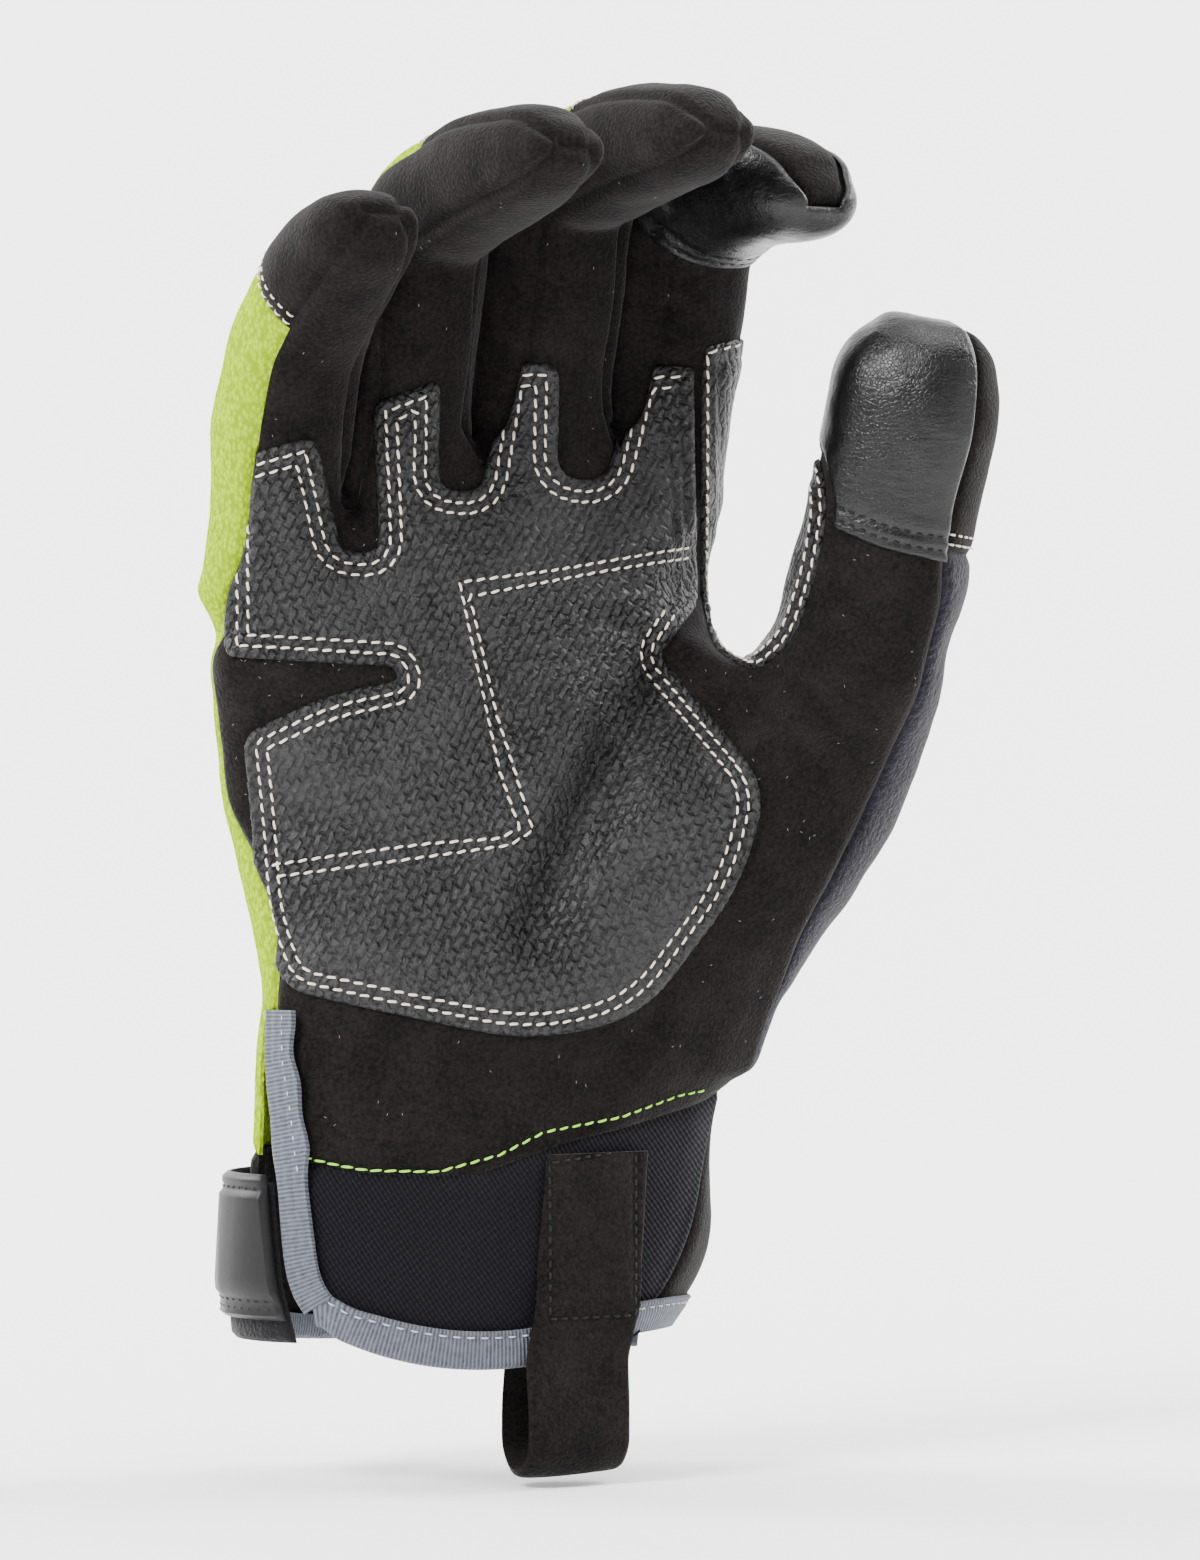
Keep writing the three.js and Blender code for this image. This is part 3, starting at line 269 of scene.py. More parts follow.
def unit(v: Array) -> Array:
    """Vectors scaled to length one."""
    return v / np.maximum(np.linalg.norm(v, axis=-1, keepdims=True), 1e-12)


def length_along(points: Array) -> Array:
    """The length of a line up to each of its points."""
    return np.concatenate(([0.0], np.cumsum(np.linalg.norm(np.diff(points, axis=0), axis=1))))


def at_lengths(at: Array | float, run: Array, points: Array) -> Array:
    """The places on a line at lengths along it."""
    return np.stack([np.interp(at, run, column) for column in points.T], axis=-1)


@dataclass(frozen=True)
class Ring:
    """A flattened ring round the hand, with the angles of its seams."""

    centre: Array
    across: Array
    palmar: Array
    half_breadth: float
    half_depth: float
    ulnar: float = 45
    ulnar_back: float = -45
    radial: float = 45
    radial_back: float = 45
    squareness: float = 2.3

    def points(self, angles: Array) -> Array:
        """Points at angles: 0 is the little finger side, 90 the palm, 180 the thumb side."""
        a = np.radians(np.atleast_1d(angles))
        power = 2 / self.squareness
        c, s = np.cos(a), np.sin(a)
        x = -self.half_breadth * np.sign(c) * np.abs(c) ** power
        y = self.half_depth * np.sign(s) * np.abs(s) ** power
        return self.centre + x[:, None] * self.across + y[:, None] * self.palmar

    def arc(self, start: float, end: float, shares: Sequence[float]) -> Array:
        """Points at shares of the length between two angles."""
        points = self.points(np.linspace(start, end, 49))
        run = length_along(points)
        return at_lengths(np.asarray(shares) * run[-1], run, points)

    def strips(self, front_shares: Sequence[float]) -> Strips:
        """The ring as its four strips of points."""
        sides = np.linspace(0, 1, QUADS.side + 1)
        return {
            "front": self.arc(self.ulnar, 180 - self.radial, front_shares),
            "radial": self.arc(180 - self.radial, 180 + self.radial_back, sides),
            "back": self.arc(360 + self.ulnar_back, 180 + self.radial_back, front_shares),
            "ulnar": self.arc(self.ulnar, self.ulnar_back, sides),
        }


def even(count: int) -> Array:
    """Even shares from 0 to 1."""
    return np.linspace(0, 1, count + 1)


def lift_strips(strips: Strips, lift: Callable[[float, str], float]) -> Strips:
    """Raises the points of a strip ring by what lift gives for their share and strip."""
    for name, points in strips.items():
        for i, point in enumerate(points):
            point[2] += lift(i / (len(points) - 1), name)
    return strips


def body_ring(row: BodyRow) -> Ring:
    """The ring of a body row."""
    reach = (SIZES.base_breadth - SIZES.cuff_breadth) / 2
    yaw = row.yaw * SIZES.palm_yaw
    return Ring(
        centre=np.array((row.shift * reach, 0.0, row.height * SIZES.web_height)),
        across=across_of(yaw),
        palmar=palmar_of(yaw),
        half_breadth=lerp(SIZES.cuff_breadth, SIZES.base_breadth, row.spread) / 2,
        half_depth=lerp(SIZES.cuff_depth, SIZES.palm_depth, row.flat) / 2,
        ulnar=row.ulnar,
        ulnar_back=row.ulnar_back,
        radial=row.radial,
    )


def hem_lift(share: float, strip: str) -> float:
    """The hem waves: it dips on the palm, and rises at both sides and most at the slit."""
    arch = math.sin(math.pi * share)
    if strip == "front":
        return lerp(SIZES.slit_rise, SIZES.hem_rise, share) * (1 - arch**0.8)
    return SIZES.hem_rise * (1 - 0.5 * arch) if strip == "back" else SIZES.hem_rise


def cuff_seam_lift(share: float, strip: str) -> float:
    """Where the palm's seam runs across the front of the cuff ring."""
    shares = [row[0] for row in CUFF_SEAM_LIFT]
    lifts = [row[1] for row in CUFF_SEAM_LIFT]
    if strip == "front":
        return SIZES.cuff_height * float(np.interp(share, shares, lifts))
    if strip == "back":
        return SIZES.cuff_height * lerp(lifts[0], lifts[-1], share)
    return SIZES.cuff_height * (lifts[-1] if strip == "radial" else lifts[0])


class FingerSpine:
    """The spine of a finger: a plane curve whose bend passes smoothly between its stretches."""

    def __init__(self, name: str) -> None:
        """Walks the spine of the named finger."""
        self.row = FINGERS[name]
        self.step = 0.5
        start = across_of(SIZES.palm_yaw) * self.row.base * SIZES.palm_breadth
        start[2] = SIZES.knuckle_height
        points = [start]
        s = 0.0
        while s < self.row.length:
            points.append(points[-1] + self.tangent(s + self.step / 2) * self.step)
            s += self.step
        self.points = np.array(points)

    def plain_bend(self, s: float) -> float:
        """The bend of the stretch that length s is in, in degrees."""
        reach = 0.0
        for length, bend in zip((self.row.palm, self.row.first, self.row.second), self.row.bends):
            reach += length
            if s < reach:
                return bend
        return self.row.bends[3]

    def bend(self, s: float) -> float:
        """The blended bend at length s, in radians."""
        samples = [self.plain_bend(s + SIZES.bend_blend * (2 * i / 8 - 1)) for i in range(9)]
        return math.radians(sum(samples) / len(samples))

    def tangent(self, s: float) -> Array:
        """The spine's direction at length s."""
        bend = self.bend(s)
        return palmar_of(SIZES.finger_yaw) * math.sin(bend) + UP * math.cos(bend)

    def ring(self, s: float, breadth: float, depth: float) -> Ring:
        """A ring at length s, with its breadth and depth as shares of the finger's."""
        at = min(max(s / self.step, 0), len(self.points) - 1.001)
        low = int(at)
        bend = self.bend(s)
        return Ring(
            centre=self.points[low] + (self.points[low + 1] - self.points[low]) * (at - low),
            across=across_of(SIZES.finger_yaw),
            palmar=palmar_of(SIZES.finger_yaw) * math.cos(bend) - UP * math.sin(bend),
            half_breadth=breadth * SIZES.finger_breadth / 2,
            half_depth=depth * self.row.depth * SIZES.finger_depth / 2,
        )


@dataclass(frozen=True)
class QuadTag:
    """Where a quad of the control form lies."""

    tube: str
    row: int
    strip: str
    place: int


class ControlNet:
    """Points and tagged quads of the control form."""

    def __init__(self) -> None:
        """Starts with nothing."""
        self.points: list[Array] = []
        self.faces: list[list[int]] = []
        self.tags: list[QuadTag] = []

    def add(self, point: Array) -> int:
        """Adds a point and returns its number."""
        self.points.append(np.array(point, dtype=float))
        return len(self.points) - 1

    def side(self, points: Array, first: int, last: int) -> list[int]:
        """A side strip that shares its end points."""
        return [first, *(self.add(p) for p in points[1:-1]), last]

    def add_strips(self, strips: Strips) -> Numbers:
        """Adds a ring of strips and returns its point numbers."""
        ids = {name: [self.add(p) for p in strips[name]] for name in ("front", "back")}
        ids["radial"] = self.side(strips["radial"], ids["front"][-1], ids["back"][-1])
        ids["ulnar"] = self.side(strips["ulnar"], ids["front"][0], ids["back"][0])
        return ids

    def join(self, tube: str, row: int, low: Numbers, high: Numbers) -> None:
        """Joins two rings by quads that face outwards."""
        for strip in STRIP_NAMES:
            for i in range(len(low[strip]) - 1):
                corners = [low[strip][i], low[strip][i + 1], high[strip][i + 1], high[strip][i]]
                if strip in ("back", "ulnar"):
                    corners.reverse()
                corners = [c for k, c in enumerate(corners) if c != corners[k - 1]]
                if len(corners) > 2:
                    self.faces.append(corners)
                    self.tags.append(QuadTag(tube, row, strip, i))

    def join_rows(self, tube: str, rows: Sequence[Numbers]) -> None:
        """Joins every ring of a tube to the next."""
        for row, (low, high) in enumerate(zip(rows, rows[1:])):
            self.join(tube, row, low, high)

    def relax(self, marked: set[int], rounds: int, pull: float) -> None:
        """Pulls marked points towards the mean of their neighbours."""
        near: dict[int, set[int]] = {i: set() for i in marked}
        for corners in self.faces:
            for k, corner in enumerate(corners):
                if corner in near:
                    near[corner].update((corners[k - 1], corners[(k + 1) % len(corners)]))
        for _ in range(rounds):
            middles = {i: np.mean([self.points[j] for j in near[i]], axis=0) for i in marked}
            moved = {i: lerp(self.points[i], middle, pull) for i, middle in middles.items()}
            for i, point in moved.items():
                self.points[i] = point


def smooth_between(p: Sequence[Array], t: float) -> Array:
    """A point between the middle two of four points, on a smooth curve through them."""
    return (
        p[0] * (-0.5 * t + t * t - 0.5 * t**3)
        + p[1] * (1 - 2.5 * t * t + 1.5 * t**3)
        + p[2] * (0.5 * t + 2 * t * t - 1.5 * t**3)
        + p[3] * (-0.5 * t * t + 0.5 * t**3)
    )


def blend_rings(rings: Sequence[Strips], counts: Sequence[int]) -> list[Strips]:
    """Rings between the given ones; counts says how many rows lead from each to the next."""
    result: list[Strips] = []
    for i, count in enumerate(counts):
        around = [rings[min(max(j, 0), len(rings) - 1)] for j in (i - 1, i, i + 1, i + 2)]
        for k in range(count):
            result.append({s: smooth_between([r[s] for r in around], k / count) for s in STRIP_NAMES})
    result.append({s: rings[-1][s].copy() for s in STRIP_NAMES})
    return result


def arch_strip(front: Array, back: Array, rise: float) -> Array:
    """The strip of points over a crotch, arched upwards."""
    t = even(QUADS.side)[:, None]
    return front + (back - front) * t + UP * rise * np.sin(math.pi * t)


class HandForm:
    """The control form of the whole hand, ring by ring."""

    def __init__(self) -> None:
        """Builds the body, the palm, the fingers and the thumb."""
        self.net = ControlNet()
        self.junctions: set[int] = set()
        self.spines = {name: FingerSpine(name) for name in FINGER_NAMES}
        self.web_rings()
        self.build_body()
        self.build_palm()
        self.build_fingers()
        self.build_thumb()
        self.net.relax(self.junctions, 4, 0.4)

    def mark(self, *rings: Numbers) -> None:
        """Marks the points of rings as those of a junction."""
        for ids in rings:
            self.junctions.update(*(ids[strip] for strip in STRIP_NAMES))

    def web_rings(self) -> None:
        """The rings where the hand parts into palm and thumb."""
        palm = Ring(
            centre=np.array((2.0, 0.0, SIZES.web_height)),
            across=across_of(SIZES.palm_yaw),
            palmar=palmar_of(SIZES.palm_yaw),
            half_breadth=SIZES.palm_breadth / 2,
            half_depth=SIZES.palm_depth / 2,
            ulnar=-6,
        ).strips(even(QUADS.palm))
        self.thumb_root = np.array((0.543 * SIZES.base_breadth, -2.0, SIZES.web_height))
        thumb = Ring(
            centre=self.thumb_root,
            across=across_of(-6),
            palmar=palmar_of(-6),
            half_breadth=1.16 * SIZES.thumb_breadth / 2,
            half_depth=1.14 * SIZES.thumb_depth / 2,
            radial=30,
        ).strips(even(QUADS.thumb))
        shift = np.array((SIZES.web_shift, 0.0, -SIZES.web_dip))
        web = {s: (palm[s][-1] + thumb[s][0]) / 2 + shift for s in ("front", "back")}
        for strip in ("front", "back"):
            palm[strip][-2][2] -= 0.4 * SIZES.web_dip
            thumb[strip][1][2] -= 0.5 * SIZES.web_dip
        self.web_arch = arch_strip(web["front"], web["back"], SIZES.web_rise)
        self.web_ring = {s: np.vstack((palm[s][:-1], web[s], thumb[s][1:])) for s in ("front", "back")}
        self.web_ring["radial"] = thumb["radial"]
        self.web_ring["ulnar"] = palm["ulnar"]

    def build_body(self) -> None:
        """The hand below the web."""
        controls = []
        for row in BODY_ROWS:
            palm = even(QUADS.palm) * row.palm_share
            thumb = row.palm_share + even(QUADS.thumb)[1:] * (1 - row.palm_share)
            controls.append(body_ring(row).strips(np.concatenate((palm, thumb))))
        lift_strips(controls[0], hem_lift)
        lift_strips(controls[2], cuff_seam_lift)
        rows = blend_rings([*controls, self.web_ring], BODY_COUNTS)
        self.body_rows = [self.net.add_strips(row) for row in rows]
        self.net.join_rows("hand", self.body_rows)

    def crotch_ring(self) -> Strips:
        """The ring of the palm at the finger crotches."""
        parts = []
        for i, name in enumerate(FINGER_NAMES):
            low, high = CROTCH_HEIGHTS[i], CROTCH_HEIGHTS[i + 1]
            level = (low + high) / 2
            lifts = {"ulnar": (low, low), "radial": (high, high)}
            strips = self.spines[name].ring(level, 1.0, 1.04).strips(even(QUADS.front))
            parts.append(lift_strips(
                strips,
                lambda share, strip, ends=lifts, a=low, b=high, m=level: (
                    lerp(*ends.get(strip, (a, b)), share) - m),
            ))
        ring: Strips = {"ulnar": parts[0]["ulnar"], "radial": parts[-1]["radial"]}
        for strip in ("front", "back"):
            points = [parts[0][strip][0]]
            for i, part in enumerate(parts):
                if i > 0:
                    points[-1] = (points[-1] + part[strip][0]) / 2
                points.extend(part[strip][1:])
            ring[strip] = np.array(points)
        return ring

    def build_palm(self) -> None:
        """From the web to the crotches; the web arch is shared by the palm and the thumb."""
        net, web, last = self.net, self.body_rows[-1], QUADS.palm
        arch = net.side(self.web_arch, web["front"][last], web["back"][last])
        start_ids = {"front": web["front"][: last + 1], "back": web["back"][: last + 1],
                     "ulnar": web["ulnar"], "radial": arch}
        self.thumb_start = {"front": web["front"][last:], "back": web["back"][last:], "ulnar": arch,
                            "radial": web["radial"]}
        start = {s: np.array([net.points[i] for i in start_ids[s]]) for s in ("front", "back", "ulnar")}
        start["radial"] = self.web_arch
        upper = Ring(
            centre=np.array((-1.6, 0.0, SIZES.knuckle_height + 3)),
            across=across_of(SIZES.palm_yaw),
            palmar=palmar_of(SIZES.palm_yaw),
            half_breadth=0.485 * SIZES.palm_breadth,
            half_depth=SIZES.palm_depth / 2,
            ulnar=20,
        ).strips(even(QUADS.palm))
        rings = blend_rings([start, upper, self.crotch_ring()], PALM_COUNTS)
        self.palm_rows = [start_ids, *(net.add_strips(ring) for ring in rings[1:])]
        net.join_rows("palm", self.palm_rows)

    def tip_rows(self, ring_at: Callable[[float, float], Ring], quads: int) -> list[Numbers]:
        """The rings of a rounded tip, the last one drawn flat into a seam.

        Args:
            ring_at: gives the ring at a share of the tip, for how full it still is.
            quads: quads across the front.

        Returns:
            The point numbers of each ring.
        """
        rows = []
        for share in TIP_RINGS:
            ring = ring_at(share, math.sqrt(max(0.0, 1 - share * share)))
            strips = ring.strips(even(quads))
            if share < 1:
                rows.append(self.net.add_strips(strips))
                continue
            front = [self.net.add(p) for p in strips["front"]]
            count = QUADS.side + 1
            sides = {"radial": [front[-1]] * count, "ulnar": [front[0]] * count}
            rows.append({"front": front, "back": front, **sides})
        return rows

    def build_fingers(self) -> None:
        """The four fingers, from the crotches to their tips."""
        top, net, n = self.palm_rows[-1], self.net, QUADS.front
        arches = [top["ulnar"]]
        for i in range(1, len(FINGER_NAMES)):
            front, back = top["front"][i * n], top["back"][i * n]
            arch = arch_strip(net.points[front], net.points[back], 0.12 * SIZES.finger_depth)
            arches.append(net.side(arch, front, back))
        arches.append(top["radial"])
        for i, name in enumerate(FINGER_NAMES):
            start = {s: top[s][i * n:(i + 1) * n + 1] for s in ("front", "back")}
            start["ulnar"], start["radial"] = arches[i], arches[i + 1]
            spine = self.spines[name]
            level = (CROTCH_HEIGHTS[i] + CROTCH_HEIGHTS[i + 1]) / 2
            left = spine.row.length - level
            rows = [start]
            for along, breadth, depth in FINGER_RINGS:
                rows.append(net.add_strips(spine.ring(level + along * left, breadth, depth).strips(even(n))))
            along, breadth, depth = FINGER_RINGS[-1]
            dome = (1 - along) * left

            def tip_ring(share: float, full: float) -> Ring:
                """The ring of the finger's tip at a share of its dome."""
                wide = breadth * lerp(SIZES.tip_seam_breadth, 1, full)
                return spine.ring(level + along * left + share * dome, wide, depth * full * spine.row.depth)

            rows += self.tip_rows(tip_ring, n)
            self.mark(rows[0], rows[1])
            net.join_rows(name, rows)

    def thumb_ring(self, row: ThumbRow, z: float) -> Ring:
        """The thumb's ring of a row at a height."""
        rise = min(max((z - SIZES.web_height) / (0.4 * SIZES.thumb_length), 0), 1)
        tilt = math.tan(math.radians(SIZES.thumb_tilt)) * rise
        root, breadth = self.thumb_root, SIZES.thumb_breadth
        return Ring(
            centre=np.array((root[0] + row.side * breadth, root[1] - row.fore * breadth, z)),
            across=unit(across_of(row.yaw) - UP * tilt),
            palmar=palmar_of(row.yaw),
            half_breadth=row.breadth * breadth / 2,
            half_depth=row.depth * SIZES.thumb_depth / 2,
            radial=36,
        )

    def build_thumb(self) -> None:
        """The thumb, from the web to its tip."""
        rows = [self.thumb_start]
        for row in THUMB_RINGS:
            ring = self.thumb_ring(row, SIZES.web_height + row.along * SIZES.thumb_length)
            rows.append(self.net.add_strips(ring.strips(even(QUADS.thumb))))
        last = THUMB_RINGS[-1]

        def tip_ring(share: float, full: float) -> Ring:
            """The ring of the thumb's tip at a share of its dome."""
            row = ThumbRow(
                along=lerp(last.along, 1, share),
                side=lerp(last.side, THUMB_TOP.side, share),
                fore=lerp(last.fore, THUMB_TOP.fore, share),
                breadth=lerp(SIZES.tip_seam_breadth, 1, full),
                depth=last.depth * full,
                yaw=THUMB_TOP.yaw,
            )
            return self.thumb_ring(row, SIZES.web_height + row.along * SIZES.thumb_length)

        rows += self.tip_rows(tip_ring, QUADS.thumb)
        self.mark(rows[0], rows[1], self.palm_rows[1])
        self.net.join_rows("thumb", rows)


def piece_of(tag: QuadTag) -> str:
    """The sewn piece that a quad of the control form belongs to."""
    tube, row, strip, place = tag.tube, tag.row, tag.strip, tag.place
    if tube == "hand":
        if row < CUFF_SEAM_ROW:
            return "cuff_front" if strip == "front" else "" if strip == "ulnar" else "cuff_back"
        if strip == "ulnar":
            return "" if row < SLIT_TOP_ROW else "back_panel"
        if strip == "front":
            return "palm_panel"
        return "thumb_back_panel" if strip == "radial" or place >= QUADS.palm else "back_panel"
    if tube == "palm":
        return "palm_panel" if strip in ("front", "radial") else "back_panel"
    if tube == "thumb":
        if strip in ("front", "ulnar"):
            return "palm_panel"
        return "thumb_back_panel" if row < THUMB_CAP_ROW else "thumb_cap"
    at = FINGER_NAMES.index(tube)
    if strip == "front" or (strip == "radial" and tube == "index"):
        return "palm_panel"
    if strip == "ulnar" and at > 0:
        return f"fourchette_{FINGER_NAMES[at - 1]}_{tube}"
    if strip == "radial":
        return f"fourchette_{tube}_{FINGER_NAMES[at + 1]}"
    return "back_panel" if row < CAP_ROW else f"finger_cap_{tube}"


# The smooth skin and what is cut from it.


@dataclass
class Sheet:
    """A sheet of quads with a normal at every point."""

    points: Array
    normals: Array
    faces: Array
    tags: Array

    def part(self, chosen: Array) -> "Sheet":
        """The sheet of the chosen faces."""
        faces = self.faces[chosen]
        used, local = np.unique(faces, return_inverse=True)
        return Sheet(self.points[used], self.normals[used], local.reshape(faces.shape), self.tags[chosen])

    def border_edges(self) -> Array:
        """Directed edges that only one face has."""
        edges = np.stack((self.faces, np.roll(self.faces, -1, axis=1)), axis=2).reshape(-1, 2)
        edges = edges[edges[:, 0] != edges[:, 1]]
        count = len(self.points)
        key = edges[:, 0] * count + edges[:, 1]
        back = edges[:, 1] * count + edges[:, 0]
        return edges[~np.isin(key, back)]

    def border_distance(self) -> Array:
        """The distance of every point from the sheet's border."""
        border = np.unique(self.border_edges())
        return nearest_distance(self.points, self.points[border])

    def split(self) -> "Sheet":
        """The sheet with every quad cut into four."""
        faces = self.faces
        edges = np.stack((faces, np.roll(faces, -1, axis=1)), axis=2).reshape(-1, 2)
        low = np.sort(edges, axis=1)
        count = len(self.points)
        keys, index = np.unique(low[:, 0] * count + low[:, 1], return_inverse=True)
        pairs = np.stack((keys // count, keys % count), axis=1)
        mids = index.reshape(faces.shape) + count
        centres = np.arange(len(faces)) + count + len(pairs)
        points = np.vstack((self.points, self.points[pairs].mean(axis=1), self.points[faces].mean(axis=1)))
        between = self.normals[pairs].mean(axis=1), self.normals[faces].mean(axis=1)
        normals = np.vstack((self.normals, *between))
        quads = [np.stack((faces[:, k], mids[:, k], centres, mids[:, k - 1]), axis=1) for k in range(4)]
        return Sheet(points, unit(normals), np.vstack(quads), np.tile(self.tags, 4))

    def shell(self, outer: Array | float, inner: Array | float) -> tuple[Array, Array]:
        """A closed shell between two offsets of the sheet.

        Returns:
            The points and the quads of the shell.
        """
        count = len(self.points)
        top = self.points + self.normals * np.reshape(np.broadcast_to(outer, count), (-1, 1))
        low = self.points + self.normals * np.reshape(np.broadcast_to(inner, count), (-1, 1))
        rim = self.border_edges()
        walls = np.stack((rim[:, 1], rim[:, 0], rim[:, 0] + count, rim[:, 1] + count), axis=1)
        return np.vstack((top, low)), np.vstack((self.faces, self.faces[:, ::-1] + count, walls))


def nearest_distance(points: Array, targets: Array) -> Array:
    """The distance from every point to the nearest target."""
    tree = KDTree(len(targets))
    for i, target in enumerate(targets):
        tree.insert(target, i)
    tree.balance()
    return np.array([tree.find(p)[2] for p in points])


def put_in_scene(name: str, data: bpy.types.ID) -> bpy.types.Object:
    """Makes an object for data and puts it in the scene."""
    obj = bpy.data.objects.new(name, data)
    bpy.context.scene.collection.objects.link(obj)
    return obj


def rolled(away: Array, roll: float) -> Array:
    """How full a patch is at distances from its edge, rounded over the roll."""
    return np.sqrt(1 - (1 - np.clip(away / roll, 0, 1)) ** 2)


def laid_flat(seen: Array) -> Array:
    """Points of x and z with a third value of nought."""
    return np.hstack((seen, np.zeros((len(seen), 1))))


def temporary_mesh(points: Array, faces: Faces) -> bpy.types.Object:
    """An object in the scene for a mesh that is read back and removed."""
    mesh = bpy.data.meshes.new("working_form")
    mesh.from_pydata([tuple(p) for p in points], [], [list(f) for f in faces])
    return put_in_scene("working_form", mesh)


class Skin:
    """The glove's smooth outer skin, with the control quad that every face comes from."""

    def __init__(self, form: HandForm, levels: int) -> None:
        """Subdivides the form so that the skin passes through its points.

        Args:
            form: the control form.
            levels: how often every quad is cut into four.
        """
        self.form = form
        self.tags = form.net.tags
        target = np.array(form.net.points)
        target = self.pressed(target, self.rough_normals(target, form.net.faces), FORM_CREASES)
        control = target.copy()
        for _ in range(4):
            smooth, _, _ = self.subdivided(control, 1)
            control += 0.9 * (target - smooth[: len(target)])
        points, faces, tags = self.subdivided(control, levels)
        self.sheet = Sheet(points, self.normals_of(points, faces), faces, tags)
        self.pieces = np.array([piece_of(tag) for tag in self.tags])
        self.round_thumb()
        self.taper_cuff()
        self.close_fingers()
        self.crease(SOFT_CREASES)
        self.rumple(0.5, 12)
        self.rumple(0.13, 4.2)

    def subdivided(self, control: Array, levels: int) -> tuple[Array, Array, Array]:
        """The subdivided control form: points, quads, and each quad's control quad."""
        obj = temporary_mesh(control, self.form.net.faces)
        tag = obj.data.attributes.new("tag", "INT", "FACE")
        tag.data.foreach_set("value", np.arange(len(self.tags), dtype=np.int32))
        modifier = obj.modifiers.new("smooth", "SUBSURF")
        modifier.levels = modifier.render_levels = levels
        modifier.boundary_smooth = "PRESERVE_CORNERS"
        evaluated = obj.evaluated_get(bpy.context.evaluated_depsgraph_get())
        mesh = evaluated.to_mesh()
        points = np.empty(len(mesh.vertices) * 3)
        mesh.vertices.foreach_get("co", points)
        corners = np.empty(len(mesh.loops), dtype=np.int32)
        mesh.loops.foreach_get("vertex_index", corners)
        tags = np.empty(len(mesh.polygons), dtype=np.int32)
        mesh.attributes["tag"].data.foreach_get("value", tags)
        evaluated.to_mesh_clear()
        data = obj.data
        bpy.data.objects.remove(obj)
        bpy.data.meshes.remove(data)
        return points.reshape(-1, 3), corners.reshape(-1, 4).astype(np.int64), tags

    def of_tube(self, tube: str, rows: int = 99) -> tuple[Array, Array]:
        """The points and the faces of the first rows of a tube."""
        chosen = np.array([tag.tube == tube and tag.row < rows for tag in self.tags])[self.sheet.tags]
        faces = self.sheet.faces[chosen]
        return np.unique(faces), faces

    def round_thumb(self, low: float = 174.0, reach: float = 10.5, side: float = 82.0, width: float = 12.0,
                    shift: float = 4.0) -> None:
        """Draws the index finger's side of the thumb's tip in."""
        ids, _ = self.of_tube("thumb")
        x, _, z = self.sheet.points[ids].T
        share = np.clip((z - low) / reach, 0, 1) ** 2 * np.clip((side - x) / width, 0, 1)
        self.sheet.points[ids, 0] += shift * share

    def taper_cuff(self, top: float = 24.0, reach: float = 20.0, side: float = 33.0, width: float = 11.0,
                   shift: float = 4.2) -> None:
        """Draws the lower end of the cuff in on the thumb's side."""
        x, _, z = self.sheet.points.T
        share = np.clip((x - side) / width, 0, 1) * np.clip((top - z) / reach, 0, 1) ** 1.5
        self.sheet.points[:, 0] -= shift * share

    def close_fingers(self, rows: int = 5, near: float = 3.6, far: float = 5.4, rest: float = 0.1) -> None:
        """Lets neighbouring fingers rest against each other where only a narrow slit is between them."""
        for left, right in zip(FINGER_NAMES, FINGER_NAMES[1:]):
            moves = []
            for one, other in ((left, right), (right, left)):
                ids, _ = self.of_tube(one, rows)
                tree = surface_tree(self.sheet.points, self.of_tube(other, rows)[1])
                found = [tree.find_nearest(Vector(p)) for p in self.sheet.points[ids]]
                away = np.array([f[3] for f in found])
                goal = np.array([f[0] for f in found])
                share = 0.5 * np.maximum(away - rest, 0) * np.clip((far - away) / (far - near), 0, 1)
                start = np.clip((away - 0.3) / 0.5, 0, 1)
                moves.append((ids, unit(goal - self.sheet.points[ids]) * (share * start)[:, None]))
            for ids, move in moves:
                self.sheet.points[ids] += move
        self.sheet.normals = self.normals_of(self.sheet.points, self.sheet.faces)

    @staticmethod
    def normals_of(points: Array, faces: Array) -> Array:
        """Point normals of a sheet of quads."""
        p = points[faces]
        face_normals = np.cross(p[:, 2] - p[:, 0], p[:, 3] - p[:, 1])
        normals = np.zeros_like(points)
        for k in range(4):
            np.add.at(normals, faces[:, k], face_normals)
        return unit(normals)

    @staticmethod
    def rough_normals(points: Array, faces: Faces) -> Array:
        """Point normals of the control form."""
        normals = np.zeros_like(points)
        for corners in faces:
            a, b, c, d = (points[corners[k]] for k in (0, 1, 2, -1))
            normals[list(corners)] += np.cross(c - a, d - b)
        return unit(normals)

    @staticmethod
    def pressed(points: Array, normals: Array, creases: Sequence[Crease]) -> Array:
        """Points with the creases pressed in."""
        result = points.copy()
        for crease in creases:
            start = np.array((crease.x_from, crease.z_from))
            run = np.array((crease.x_to, crease.z_to)) - start
            seen = points[:, (0, 2)] - start
            along = np.clip(seen @ run / (run @ run), 0, 1)
            away = np.linalg.norm(seen - along[:, None] * run, axis=1) / crease.width
            valley = np.where(away < 1, np.cos(np.minimum(away, 1) * math.pi / 2) ** 2, 0)
            if crease.ridge > 0:
                ends = np.sin(np.clip(0.12 + 0.76 * along, 0, 1) * math.pi)
                fold, crest = (np.exp(-((2.2 * (away - at)) ** 2)) for at in (0, 1))
                valley = (fold - crease.ridge * crest) * ends
            result -= normals * (crease.depth * valley * (normals[:, 1] < 0))[:, None]
        return result

